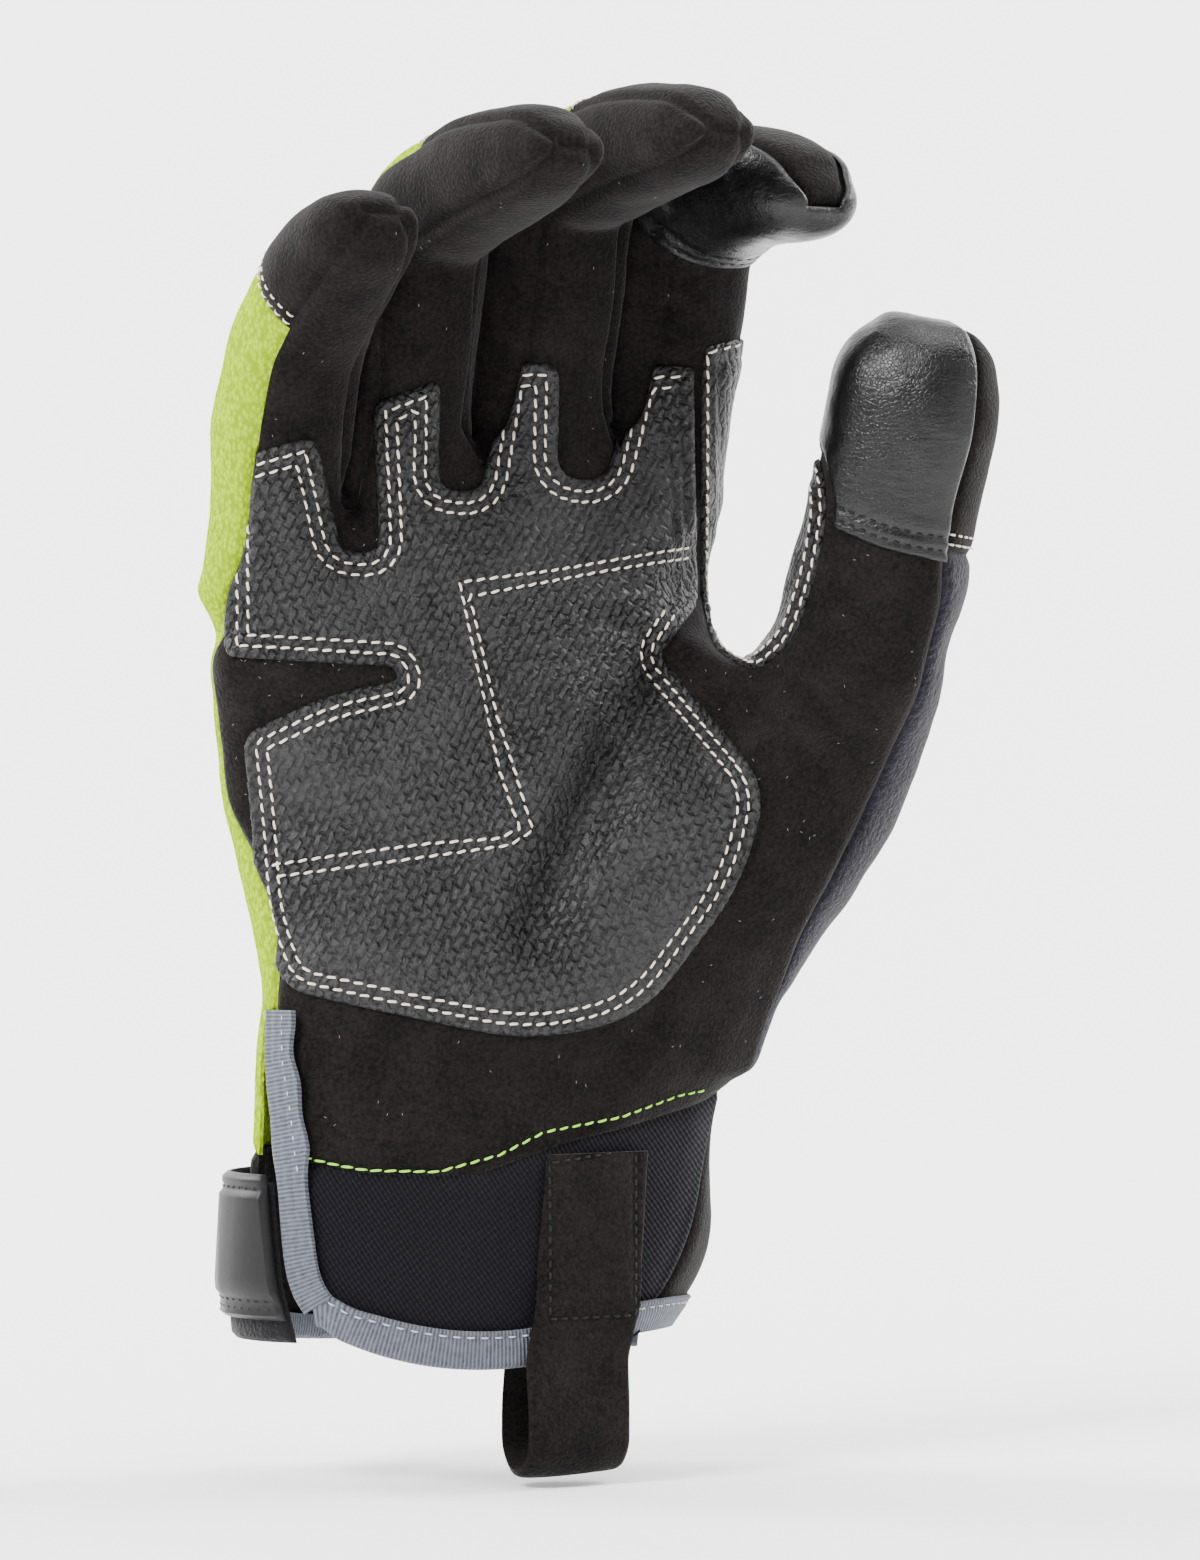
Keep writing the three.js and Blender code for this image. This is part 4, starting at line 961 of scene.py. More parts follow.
    def crease(self, creases: Sequence[Crease]) -> None:
        """Presses creases into the skin and works its normals out again."""
        sheet = self.sheet
        sheet.points = self.pressed(sheet.points, sheet.normals, creases)
        sheet.normals = self.normals_of(sheet.points, sheet.faces)

    def rumple(self, amount: float, size: float) -> None:
        """Adds soft unevenness to the skin.

        Args:
            amount: the height in millimetres.
            size: the size of a bump in millimetres.
        """
        sheet = self.sheet
        lifts = np.array([noise.noise(Vector(p) / size) for p in sheet.points])
        lifts *= np.clip((sheet.points[:, 2] - SIZES.cuff_height * 0.4) / 15, 0, 1)
        sheet.points = sheet.points + sheet.normals * (amount * lifts)[:, None]
        sheet.normals = self.normals_of(sheet.points, sheet.faces)

    def quads(self, wanted: Callable[[QuadTag], bool]) -> Sheet:
        """The sheet of the faces whose control quad is wanted."""
        chosen = np.array([wanted(tag) for tag in self.tags])
        return self.sheet.part(chosen[self.sheet.tags])

    def piece(self, name: str) -> Sheet:
        """The sheet of a sewn piece."""
        return self.sheet.part((self.pieces == name)[self.sheet.tags])


def surface_tree(points: Array, faces: Array) -> BVHTree:
    """A search tree over a surface."""
    return BVHTree.FromPolygons([Vector(p) for p in points], [tuple(int(i) for i in f) for f in faces])


# Finishes.


class Surface:
    """A node tree under construction for one finish."""

    def __init__(self, name: str, colour: Triple, roughness: float) -> None:
        """Starts a material with its shader's plain values."""
        self.material = bpy.data.materials.new(name)
        self.material.use_nodes = True
        self.tree = self.material.node_tree
        self.shader = self.tree.nodes["Principled BSDF"]
        self.shader.inputs["Base Color"].default_value = (*linear(colour), 1.0)
        self.shader.inputs["Roughness"].default_value = roughness
        self.material.diffuse_color = (*linear(colour), 1.0)
        self.height: Socket | None = None

    def node(self, kind: str, **values: object) -> bpy.types.Node:
        """Adds a node; plain names set properties, names of inputs set or link their sockets."""
        made = self.tree.nodes.new(kind)
        for key, value in values.items():
            socket = made.inputs.get(key.replace("_", " ")) if not hasattr(made, key) else None
            if socket is None and key.startswith("in"):
                socket = made.inputs[int(key[2:])]
            if socket is None:
                setattr(made, key, value)
            elif isinstance(value, Socket):
                self.tree.links.new(value, socket)
            else:
                socket.default_value = value
        return made

    def set(self, **values: float) -> None:
        """Sets plain values on the shader's own sockets."""
        for key, value in values.items():
            self.shader.inputs[key.replace("_", " ")].default_value = value

    def place(self, turn: Triple = (0, 0, 0), stretch: Triple = (1, 1, 1)) -> Socket:
        """Object coordinates, turned by degrees and stretched."""
        made = self.node("ShaderNodeMapping", Vector=self.node("ShaderNodeTexCoord").outputs["Object"],
                         Rotation=tuple(math.radians(a) for a in turn), Scale=stretch)
        return made.outputs["Vector"]

    def noise(self, vector: Socket, scale: float, detail: float = 2.0) -> Socket:
        """A noise value at a place."""
        return self.node("ShaderNodeTexNoise", Vector=vector, Scale=scale, Detail=detail).outputs["Fac"]

    def cells(self, vector: Socket, scale: float, feature: str = "F1") -> Socket:
        """Distances in a pattern of cells."""
        made = self.node("ShaderNodeTexVoronoi", feature=feature, Vector=vector, Scale=scale)
        return made.outputs["Distance"]

    def math(self, operation: str, a: object, b: object = 0.0) -> Socket:
        """A sum or another operation on two values."""
        return self.node("ShaderNodeMath", operation=operation, in0=a, in1=b).outputs[0]

    def blend(self, *parts: tuple[Socket, Socket | float]) -> Socket:
        """A sum of values, each times its share."""
        scaled = [self.math("MULTIPLY", value, share) for value, share in parts]
        total = scaled[0]
        for value in scaled[1:]:
            total = self.math("ADD", total, value)
        return total

    def ramp(self, value: Socket, low: float, high: float, a: float, b: float) -> Socket:
        """A value remapped from one range to another and clamped."""
        made = self.node("ShaderNodeMapRange", clamp=True, Value=value, From_Min=low, From_Max=high,
                         To_Min=a, To_Max=b)
        return made.outputs["Result"]

    def colours(self, share: Socket, dark: Triple, light: Triple) -> None:
        """Mixes the base colour between two colours."""
        mix = self.node("ShaderNodeMix", data_type="RGBA", in0=share, in6=(*linear(dark), 1.0),
                        in7=(*linear(light), 1.0))
        self.tree.links.new(mix.outputs[2], self.shader.inputs["Base Color"])

    def rough(self, share: Socket, low: float, high: float) -> None:
        """Varies the roughness."""
        self.tree.links.new(self.ramp(share, 0.3, 0.7, low, high), self.shader.inputs["Roughness"])

    def bump(self, height: Socket, depth: float, strength: float = 1.0) -> None:
        """Adds a bump of a depth in millimetres over those that are there."""
        bump = self.node("ShaderNodeBump", Strength=strength, Distance=depth * MM, Height=height)
        if self.height is not None:
            self.tree.links.new(self.height, bump.inputs["Normal"])
        self.height = bump.outputs["Normal"]
        self.tree.links.new(self.height, self.shader.inputs["Normal"])


def linear(colour: Triple) -> Triple:
    """A colour of 0 to 255 as linear light."""
    shares = [c / 255 for c in colour]
    return tuple(s / 12.92 if s <= 0.04045 else ((s + 0.055) / 1.055) ** 2.4 for s in shares)


@dataclass(frozen=True)
class Suede:
    """Matt synthetic suede with a short nap."""

    name: str = "black_suede"
    dark: Triple = (10, 9, 9)
    light: Triple = (31, 27, 25)

    def build(self) -> bpy.types.Material:
        """Makes the material."""
        s = Surface(self.name, self.dark, 0.95)
        s.set(Sheen_Weight=0.08, Sheen_Roughness=0.4, Specular_IOR_Level=0.08)
        at = s.place()
        patches = s.noise(at, 120, 3)
        nap = s.noise(at, 1500, 4)
        tone = s.blend((patches, 0.35), (nap, 0.65))
        s.colours(s.ramp(tone, 0.38, 0.66, 0, 1), self.dark, self.light)
        s.bump(nap, 0.34, 0.9)
        s.bump(patches, 0.3, 0.4)
        return s.material


@dataclass(frozen=True)
class Grip:
    """Grip material embossed with leaning columns of short bars."""

    name: str = "embossed_grip"
    dark: Triple = (6, 6, 7)
    light: Triple = (49, 48, 49)
    bar: tuple[float, float] = (0.0027, 0.0016)

    def bars(self, s: Surface, at: Socket, turn: Triple) -> Socket:
        """The gaps between the bars over one plane."""
        lean = s.node("ShaderNodeMapping", Vector=at, Rotation=tuple(math.radians(a) for a in turn))
        bars = s.node("ShaderNodeTexBrick", offset=0.5, squash=1.0, Vector=lean.outputs[0], Scale=1.0,
                      Mortar_Size=0.0005, Mortar_Smooth=1.0, Bias=0.0, Brick_Width=self.bar[0],
                      Row_Height=self.bar[1])
        return bars.outputs["Fac"]

    def build(self) -> bpy.types.Material:
        """Makes the material."""
        s = Surface(self.name, self.light, 0.5)
        s.set(Specular_IOR_Level=0.26)
        plain = s.place()
        at = plain
        for scale, reach in ((240.0, 0.0022), (900.0, 0.0009)):
            wobble = s.node("ShaderNodeTexNoise", Vector=plain, Scale=scale, Detail=2.0).outputs["Color"]
            shift = s.node("ShaderNodeVectorMath", operation="SCALE", in0=wobble)
            shift.inputs["Scale"].default_value = reach
            at = s.node("ShaderNodeVectorMath", operation="ADD", in0=at, in1=shift.outputs[0]).outputs[0]
        front = self.bars(s, at, (90, 0, 62))
        side = self.bars(s, at, (0, 90, 28))
        facing = s.node("ShaderNodeSeparateXYZ")
        s.tree.links.new(s.node("ShaderNodeTexCoord").outputs["Normal"], facing.inputs[0])
        aside = s.ramp(s.math("ABSOLUTE", facing.outputs["X"]), 0.68, 0.74, 0, 1)
        gaps = s.blend((front, s.math("SUBTRACT", 1.0, aside)), (side, aside))
        # groove_depth_and_shade: the groove mask, faint in places, that sets both how deep the grooves are
        # and the painted shade in them
        groove_depth_and_shade = s.math("MULTIPLY", gaps, s.ramp(s.noise(plain, 45, 2), 0.38, 0.6, 0.35, 1.0))
        crinkle = s.noise(plain, 1300, 3)
        dents = s.noise(plain, 520, 2)
        # The grooves between the bars are painted darker, which is painted shade in the recesses; crinkle
        # and dents vary the tone at random
        tone = s.blend((crinkle, 0.55), (dents, 0.45), (groove_depth_and_shade, -0.26))
        s.colours(s.ramp(tone, 0.22, 0.62, 0, 1), self.dark, self.light)
        s.rough(crinkle, 0.38, 0.6)
        s.bump(s.math("SUBTRACT", 1.0, groove_depth_and_shade), 0.75, 1.0)
        s.bump(dents, 0.9, 0.8)
        s.bump(crinkle, 0.34, 0.9)
        return s.material


@dataclass(frozen=True)
class SmoothLeather:
    """Smooth black leather with a fine grain and short creases."""

    name: str = "smooth_leather"
    colour: Triple = (9, 9, 11)

    def build(self) -> bpy.types.Material:
        """Makes the material."""
        s = Surface(self.name, self.colour, 0.36)
        s.set(Specular_IOR_Level=0.36, Coat_Weight=0.04, Coat_Roughness=0.25)
        plain = s.place()
        s.rough(s.noise(plain, 300, 2), 0.31, 0.43)
        s.bump(s.ramp(s.cells(plain, 1300, "DISTANCE_TO_EDGE"), 0, 0.16, 0, 1), 0.05, 0.7)
        s.bump(s.noise(s.place((0, 32, 0), (0.4, 1, 1.3)), 620, 3), 0.34, 0.6)
        s.bump(s.noise(plain, 120, 2), 0.5, 0.4)
        return s.material


@dataclass(frozen=True)
class StretchKnit:
    """High-visibility stretch knit with small close loops."""

    name: str = "bright_stretch_knit"
    # dark is the colour painted between the loops as shade; light is the colour on the loop tops
    dark: Triple = (122, 150, 0)
    light: Triple = (170, 204, 0)

    def build(self) -> bpy.types.Material:
        """Makes the material."""
        s = Surface(self.name, self.light, 1.0)
        s.set(Specular_IOR_Level=0.0)
        loops = s.ramp(s.cells(s.place((0, 0, 0), (1, 1, 0.7)), 1250), 0.0, 0.75, 1, 0)
        # The colour darkens from the loop tops into the gaps between them, which is painted shade in the
        # recesses
        s.colours(loops, self.dark, self.light)
        s.bump(loops, 0.32, 0.8)
        s.bump(s.noise(s.place(), 2400, 2), 0.1, 0.5)
        return s.material


@dataclass(frozen=True)
class Terry:
    """Dark terry fleece."""

    name: str = "dark_terry"
    dark: Triple = (9, 8, 13)
    light: Triple = (33, 30, 43)

    def build(self) -> bpy.types.Material:
        """Makes the material."""
        s = Surface(self.name, self.dark, 1.0)
        s.set(Sheen_Weight=0.14, Sheen_Roughness=0.6, Specular_IOR_Level=0.08)
        tufts = s.noise(s.place(), 1000, 4)
        s.colours(s.ramp(tufts, 0.36, 0.68, 0, 1), self.dark, self.light)
        s.bump(tufts, 0.7, 1.0)
        s.bump(s.noise(s.place(), 2500, 2), 0.25, 0.8)
        return s.material


@dataclass(frozen=True)
class RibKnit:
    """Elastic knit with fine slanting ribs."""

    name: str = "cuff_rib_knit"
    dark: Triple = (6, 5, 9)
    light: Triple = (27, 25, 32)

    def build(self) -> bpy.types.Material:
        """Makes the material."""
        s = Surface(self.name, self.dark, 0.85)
        s.set(Sheen_Weight=0.05, Specular_IOR_Level=0.08)
        ribs = s.node("ShaderNodeTexWave", Vector=s.place((0, 32, 0)), Scale=440.0, Distortion=1.2,
                      Detail=1.0, bands_direction="X")
        loops = s.node("ShaderNodeTexWave", Vector=s.place((0, -52, 0)), Scale=300.0, Distortion=1.6,
                       bands_direction="X")
        knit = s.blend((ribs.outputs["Fac"], 0.6), (loops.outputs["Fac"], 0.3))
        s.colours(s.ramp(knit, 0.2, 0.9, 0, 1), self.dark, self.light)
        s.bump(knit, 0.26, 0.8)
        s.bump(s.noise(s.place(), 2200, 2), 0.15, 0.6)
        return s.material


@dataclass(frozen=True)
class BindingTape:
    """Grey ribbed binding tape; the ribs cross it and follow its own map."""

    name: str = "grey_binding"
    dark: Triple = (50, 53, 60)
    light: Triple = (98, 102, 112)

    def build(self) -> bpy.types.Material:
        """Makes the material."""
        s = Surface(self.name, self.light, 0.8)
        s.set(Sheen_Weight=0.08, Specular_IOR_Level=0.25)
        along = s.node("ShaderNodeUVMap", uv_map="tape").outputs["UV"]
        ribs = s.node("ShaderNodeTexWave", Vector=along, Scale=430.0, Distortion=0.0, bands_direction="X")
        soft = s.noise(s.place(), 900, 2)
        tone = s.blend((ribs.outputs["Fac"], 0.5), (soft, 0.7))
        s.colours(s.ramp(tone, 0.2, 0.8, 0, 1), self.dark, self.light)
        s.bump(ribs.outputs["Fac"], 0.2, 0.9)
        s.bump(soft, 0.18, 0.6)
        return s.material


@dataclass(frozen=True)
class Plain:
    """A plain finish with a little unevenness."""

    name: str
    colour: Triple
    roughness: float
    grain: float = 0.05
    scale: float = 1500
    sheen: float = 0.0

    def build(self) -> bpy.types.Material:
        """Makes the material."""
        s = Surface(self.name, self.colour, self.roughness)
        s.set(Sheen_Weight=self.sheen, Specular_IOR_Level=0.3)
        s.bump(s.noise(s.place(), self.scale, 3), self.grain, 0.8)
        return s.material


class Finish(Enum):
    """The glove's finishes; the value is the record's slot and what makes the material."""

    SUEDE = ("suede", Suede())
    GRIP = ("grip", Grip())
    LEATHER = ("leather", SmoothLeather())
    STRETCH = ("hivis", StretchKnit())
    TERRY = ("terry", Terry())
    RIB = ("knit", RibKnit())
    BINDING = ("binding", BindingTape())
    RUBBER = ("rubber", Plain("moulded_rubber", (21, 21, 22), 0.45, 0.04, 900))
    FLEECE = ("fleece", Plain("strap_fleece", (12, 12, 15), 1.0, 0.6, 1300, 0.1))
    CREAM_THREAD = ("grip", Plain("cream_thread", (226, 212, 196), 0.7, 0.06, 3000))
    LIME_THREAD = ("hivis", Plain("lime_thread", (150, 222, 70), 0.7, 0.06, 3000))
    BLACK_THREAD = ("suede", Plain("black_thread", (7, 7, 7), 0.6, 0.06, 3000))
    PALE_THREAD = ("binding", Plain("pale_thread", (176, 180, 186), 0.7, 0.06, 3000))
    LINT = ("suede", Plain("lint", (150, 146, 140), 0.9, 0.05, 3000))

    @property
    def slot(self) -> str:
        """The record's material slot."""
        return self.value[0]

    def material(self) -> bpy.types.Material:
        """The finish's material, made once."""
        return bpy.data.materials.get(self.value[1].name) or self.value[1].build()


def thin(obj: bpy.types.Object, most: int = 195_000) -> None:
    """Thins the active object if it has more triangles than most, first where it is flattest."""
    triangles = sum(len(face.vertices) - 2 for face in obj.data.polygons)
    if triangles > most:
        modifier = obj.modifiers.new("thin", "DECIMATE")
        modifier.ratio = most / triangles
        bpy.ops.object.modifier_apply(modifier=modifier.name)


def add_piece(name: str, points: Array, faces: Array | Faces, finish: Finish,
              nodes: Sequence[str] = (), uv: Array | None = None,
              flat_angle: float | None = None) -> bpy.types.Object:
    """Hands a mesh to Blender as one piece of the glove.

    Args:
        name: the piece's name.
        points: its points, in millimetres.
        faces: its faces.
        finish: its finish.
        nodes: the solids that it stands for.
        uv: a map of its points along and across a tape, in metres.
        flat_angle: edges sharper than this, in degrees, stay sharp.

    Returns:
        The piece.
    """
    mesh = bpy.data.meshes.new(name)
    mesh.from_pydata((np.asarray(points) * MM).tolist(), [], [list(map(int, f)) for f in faces])
    mesh.validate()
    if uv is not None:
        layer = mesh.uv_layers.new(name="tape")
        corners = np.empty(len(mesh.loops), dtype=np.int32)
        mesh.loops.foreach_get("vertex_index", corners)
        layer.data.foreach_set("uv", np.asarray(uv)[corners].ravel())
    obj = put_in_scene(name, mesh)
    mesh.materials.append(finish.material())
    bpy.ops.object.select_all(action="DESELECT")
    obj.select_set(True)
    bpy.context.view_layer.objects.active = obj
    thin(obj)
    if flat_angle is None:
        bpy.ops.object.shade_smooth()
    else:
        bpy.ops.object.shade_smooth_by_angle(angle=math.radians(flat_angle))
    obj.select_set(False)
    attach(obj, "root")
    if nodes:
        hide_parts(*nodes)
    LOG.info("%s: %d faces", name, len(mesh.polygons))
    return obj


# Stitches.


@dataclass(frozen=True)
class Thread:
    """Sizes of one kind of stitch, in millimetres."""

    finish: Finish
    pitch: float
    length: float
    radius: float
    dip: float = 0.4
    slant: float = 0.0


CREAM = Thread(Finish.CREAM_THREAD, pitch=2.45, length=2.15, radius=0.25, slant=0.14)
CAP_CREAM = Thread(Finish.CREAM_THREAD, pitch=2.2, length=1.5, radius=0.2)
LIME = Thread(Finish.LIME_THREAD, pitch=2.5, length=2.1, radius=0.22, slant=0.1)
BLACK = Thread(Finish.BLACK_THREAD, pitch=2.1, length=1.6, radius=0.24)
PALE = Thread(Finish.PALE_THREAD, pitch=2.6, length=1.5, radius=0.17, dip=0.3)


class Seam:
    """Rows of stitches gathered into one piece."""

    around = 6
    along = 5

    def __init__(self, name: str, thread: Thread) -> None:
        """Starts an empty seam."""
        self.name = name
        self.thread = thread
        self.points: list[Array] = []
        self.faces: list[Array] = []
        self.count = 0

    def stitch(self, place: Array, run: Array, out: Array) -> None:
        """Adds one stitch: a short thread that dips into the cloth at both ends."""
        t = self.thread
        run = unit(run - out * (run @ out))
        side = np.cross(out, run)
        if t.slant:
            run = unit(run + side * t.slant)
            side = np.cross(out, run)
        u = np.linspace(-1, 1, self.along)
        angle = np.arange(self.around) / self.around * 2 * math.pi
        centre = place + run * (u * t.length / 2)[:, None] + out * (t.radius * 0.4 - t.dip * u**4)[:, None]
        radius = t.radius * np.sqrt(np.maximum(1 - (0.92 * u) ** 4, 0.05))
        ring = np.cos(angle)[None, :, None] * side + 0.85 * np.sin(angle)[None, :, None] * out
        points = centre[:, None, :] + radius[:, None, None] * ring
        start = self.count
        self.points += [points.reshape(-1, 3), centre[:1], centre[-1:]]
        n, m = self.around, self.along
        ends = start + n * m
        for i in range(m - 1):
            for k in range(n):
                a, b = start + i * n + k, start + i * n + (k + 1) % n
                self.faces.append([a, a + n, b + n, b])
        for k in range(n):
            self.faces.append([ends, start + k, start + (k + 1) % n])
            last = start + (m - 1) * n
            self.faces.append([ends + 1, last + (k + 1) % n, last + k])
        self.count += n * m + 2

    def row(self, places: Array, outs: Array) -> None:
        """Adds stitches along a line over the cloth."""
        run = length_along(places)
        count = int(run[-1] / self.thread.pitch)
        if count < 1:
            return
        for i in range(count):
            at = (i + 0.5) * run[-1] / count
            half = 0.3 * self.thread.pitch
            ahead, behind, here = (at_lengths(v, run, places) for v in (at + half, at - half, at))
            self.stitch(here, ahead - behind, unit(at_lengths(at, run, outs)))

    def build(self) -> bpy.types.Object | None:
        """Makes the piece."""
        if not self.points:
            return None
        return add_piece(self.name, np.vstack(self.points), self.faces, self.thread.finish)


def seen_rows(line: Array, tree: BVHTree, lift: float = 0.0,
              facing: float = -0.12) -> list[tuple[Array, Array]]:
    """Lays a line of (x, z) over a surface as it is seen from the palm side.

    Args:
        line: the line's points.
        tree: the surface.
        lift: height over the surface.
        facing: how far the surface has to look to the palm side.

    Returns:
        The stretches that lie on the surface, each as places and normals.
    """
    stretches: list[tuple[Array, Array]] = []
    places: list[Array] = []
    outs: list[Array] = []
    for x, z in [*line, (1e4, 1e4)]:
        hit, normal, _, _ = tree.ray_cast(Vector((x, VIEWER, z)), Vector((0, 1, 0)))
        if hit is not None and normal.y < facing:
            if places and np.linalg.norm(np.array(hit) - places[-1]) > 6:
                stretches.append((np.array(places), np.array(outs)))
                places, outs = [], []
            places.append(np.array(hit) + np.array(normal) * lift)
            outs.append(np.array(normal))
        else:
            if len(places) > 3:
                stretches.append((np.array(places), np.array(outs)))
            places, outs = [], []
    return stretches


def resampled(line: Array, step: float, closed: bool = False) -> Array:
    """A line's points at even steps."""
    line = np.asarray(line, dtype=float)
    if closed:
        line = np.vstack((line, line[:1]))
    run = length_along(line)
    points = at_lengths(np.linspace(0, run[-1], max(2, int(run[-1] / step) + 1)), run, line)
    return points[:-1] if closed else points


# Patches sewn over the skin.


@dataclass(frozen=True)
class Corner:
    """A corner of an outline seen from the palm, as shares of the palm, with its rounding."""

    across: float
    height: float
    round: float


PALM_OUTLINE = (
    Corner(-0.412, 1.002, 2.2), Corner(-0.408, 1.277, 2.9), Corner(-0.254, 1.312, 2.2),
    Corner(-0.215, 1.153, 2.5), Corner(-0.145, 1.148, 3.6), Corner(-0.155, 1.363, 1.6),
    Corner(-0.041, 1.398, 2.0), Corner(-0.046, 1.243, 3.1), Corner(0.031, 1.24, 3.6),
    Corner(0.07, 1.426, 2.2), Corner(0.168, 1.426, 3.2), Corner(0.163, 1.263, 4.3),
    Corner(0.251, 1.26, 5.4), Corner(0.306, 1.429, 4.7), Corner(0.406, 1.429, 1.4),
    Corner(0.411, 1.08, 2.5), Corner(0.348, 1.009, 1.6), Corner(0.536, 0.82, 7.2),
    Corner(0.49, 0.677, 10.8), Corner(0.311, 0.486, 10.8), Corner(0.117, 0.455, 10.8),
    Corner(-0.308, 0.529, 5.0), Corner(-0.354, 0.627, 10.8), Corner(-0.382, 0.892, 3.2),
    Corner(-0.234, 0.948, 5.4), Corner(-0.111, 0.969, 1.1), Corner(-0.122, 0.989, 0.9),
)
SADDLE_OUTLINE = (
    Corner(0.422, 1.454, 1.1), Corner(0.56, 1.489, 1.1), Corner(0.575, 1.343, 0.7),
    Corner(0.592, 1.329, 0.7), Corner(0.622, 1.315, 0.9), Corner(0.643, 1.229, 5.4),
    Corner(0.624, 1.128, 5.4), Corner(0.584, 1.028, 5.4), Corner(0.517, 0.982, 2.9),
    Corner(0.445, 1.017, 2.9), Corner(0.422, 1.1, 3.6),
)

THUMB_OUTLINE = (
    Corner(0.65, 1.188, 1.0), Corner(0.733, 1.158, 3.0), Corner(0.839, 1.139, 1.0), Corner(1.05, 1.13, 0.5),
    Corner(1.05, 1.62, 0.5), Corner(0.48, 1.62, 0.5), Corner(0.48, 1.355, 0.5), Corner(0.598, 1.346, 0.5),
    Corner(0.634, 1.321, 1.0), Corner(0.655, 1.231, 3.0),
)


class Outline:
    """A closed outline in x and z, with rounded corners."""

    step = 0.4

    def __init__(self, corners: Sequence[Corner]) -> None:
        """Rounds the corners and lays points along the outline."""
        places = np.array([(c.across * SIZES.palm_breadth, c.height * SIZES.web_height) for c in corners])
        points = []
        for i, corner in enumerate(corners):
            here, before, after = places[i], places[i - 1], places[(i + 1) % len(places)]
            to_before, to_after = np.linalg.norm(before - here), np.linalg.norm(after - here)
            reach = min(corner.round, to_before / 2.1, to_after / 2.1)
            start = here + (before - here) * reach / to_before
            end = here + (after - here) * reach / to_after
            for t in np.linspace(0, 1, 9):
                points.append(start * (1 - t) ** 2 + here * 2 * t * (1 - t) + end * t * t)
        self.points = resampled(np.array(points), self.step, closed=True)
        x, z = self.points.T
        self.turn = 1.0 if np.sum(x * np.roll(z, -1) - z * np.roll(x, -1)) > 0 else -1.0
        self.tree = KDTree(len(self.points))
        for i, (px, pz) in enumerate(self.points):
            self.tree.insert((px, pz, 0), i)
        self.tree.balance()

    def inside(self, seen: Array) -> Array:
        """Whether points lie inside."""
        result = np.zeros(len(seen), dtype=bool)
        ends = np.roll(self.points, -1, axis=0)
        for (ax, az), (bx, bz) in zip(self.points, ends):
            crosses = (az > seen[:, 1]) != (bz > seen[:, 1])
            if crosses.any():
                at = ax + (seen[:, 1] - az) / (bz - az if bz != az else 1e-9) * (bx - ax)
                result ^= crosses & (seen[:, 0] < at)
        return result

    def nearest(self, seen: Array) -> Array:
        """The nearest outline point of every point."""
        return np.array([self.points[self.tree.find((p[0], p[1], 0))[1]] for p in seen])

    def inset(self, reach: float) -> Array:
        """The outline drawn in by a reach, as a closed line without the points that come too near."""
        ahead, behind = np.roll(self.points, -2, axis=0), np.roll(self.points, 2, axis=0)
        run = unit(ahead - behind)
        inwards = np.stack((-run[:, 1], run[:, 0]), axis=1) * self.turn
        moved = self.points + inwards * reach
        clear = np.array([self.tree.find((p[0], p[1], 0))[2] for p in moved]) > reach - 0.12
        return moved[clear & self.inside(moved)]


@dataclass
class SewnPatch:
    """A patch with rolled edges and grooves along its stitch rows."""

    name: str
    node: str
    finish: Finish
    outline: Outline
    thickness: float = 1.15
    roll: float = 1.3
    rows: tuple[float, ...] = (2.1, 4.0)
    groove: float = 0.42
    groove_width: float = 0.75
    lines: tuple[Array, ...] = ()
    bare: Callable[[float, Array], Array] = lambda row, line: np.zeros(len(line), dtype=bool)
    facing: float = 2.0
    top: BVHTree | None = field(default=None, repr=False)

    def cut(self, sheet: Sheet) -> Sheet:
        """The sheet cut to the outline, its outer points drawn onto the outline."""
        seen = sheet.points[:, (0, 2)]
        inside = self.outline.inside(seen) & (sheet.normals[:, 1] < self.facing)
        cut = sheet.part(inside[sheet.faces].any(axis=1))
        seen = cut.points[:, (0, 2)]
        outside = ~self.outline.inside(seen)
        target = self.outline.nearest(seen[outside])
        move = target - seen[outside]
        normal = cut.normals[outside]
        steep = np.abs(normal[:, 1]) < 0.3
        depth = np.where(steep, 0, -(normal[:, 0] * move[:, 0] + normal[:, 2] * move[:, 1])
                         / np.where(steep, 1, normal[:, 1]))
        cut.points[outside] += np.stack((move[:, 0], depth, move[:, 1]), axis=1)
        return cut

    def grooves(self, sheet: Sheet) -> Array:
        """How deep every point lies in the grooves of the stitch rows."""
        seen = sheet.points[:, (0, 2)]
        edge = np.linalg.norm(seen - self.outline.nearest(seen), axis=1)
        depth = np.zeros(len(seen))
        for row in self.rows:
            depth = np.maximum(depth, np.exp(-(((edge - row) / self.groove_width) ** 2)))
        for line in self.lines:
            away = nearest_distance(laid_flat(seen), laid_flat(resampled(line, 0.4)))
            depth = np.maximum(depth, np.exp(-((away / self.groove_width) ** 2)))
        return depth * self.groove

    def build(self, sheet: Sheet) -> bpy.types.Object:
        """Makes the patch over the given part of the skin."""
        cut = self.cut(sheet)
        crown = rolled(cut.border_distance(), self.roll)
        height = PATCH_EDGE + (self.thickness - PATCH_EDGE) * crown - self.grooves(cut)
        points, faces = cut.shell(height, PATCH_GAP)
        top = cut.points + cut.normals * height[:, None]
        self.top = surface_tree(top, cut.faces)
        return add_piece(self.name, points, faces, self.finish, [self.node], flat_angle=60)

    def sew(self, seam: Seam) -> None:
        """Adds the stitch rows of the outline and of the inner lines."""
        for row in self.rows:
            line = self.outline.inset(row)
            line = np.vstack((line, line[:2]))
            line[self.bare(row, line)] = 1e4
            for places, outs in seen_rows(line, self.top):
                seam.row(places, outs)
        for line in self.lines:
            for places, outs in seen_rows(resampled(line, 0.5), self.top):
                seam.row(places, outs)


# Sub-assemblies.


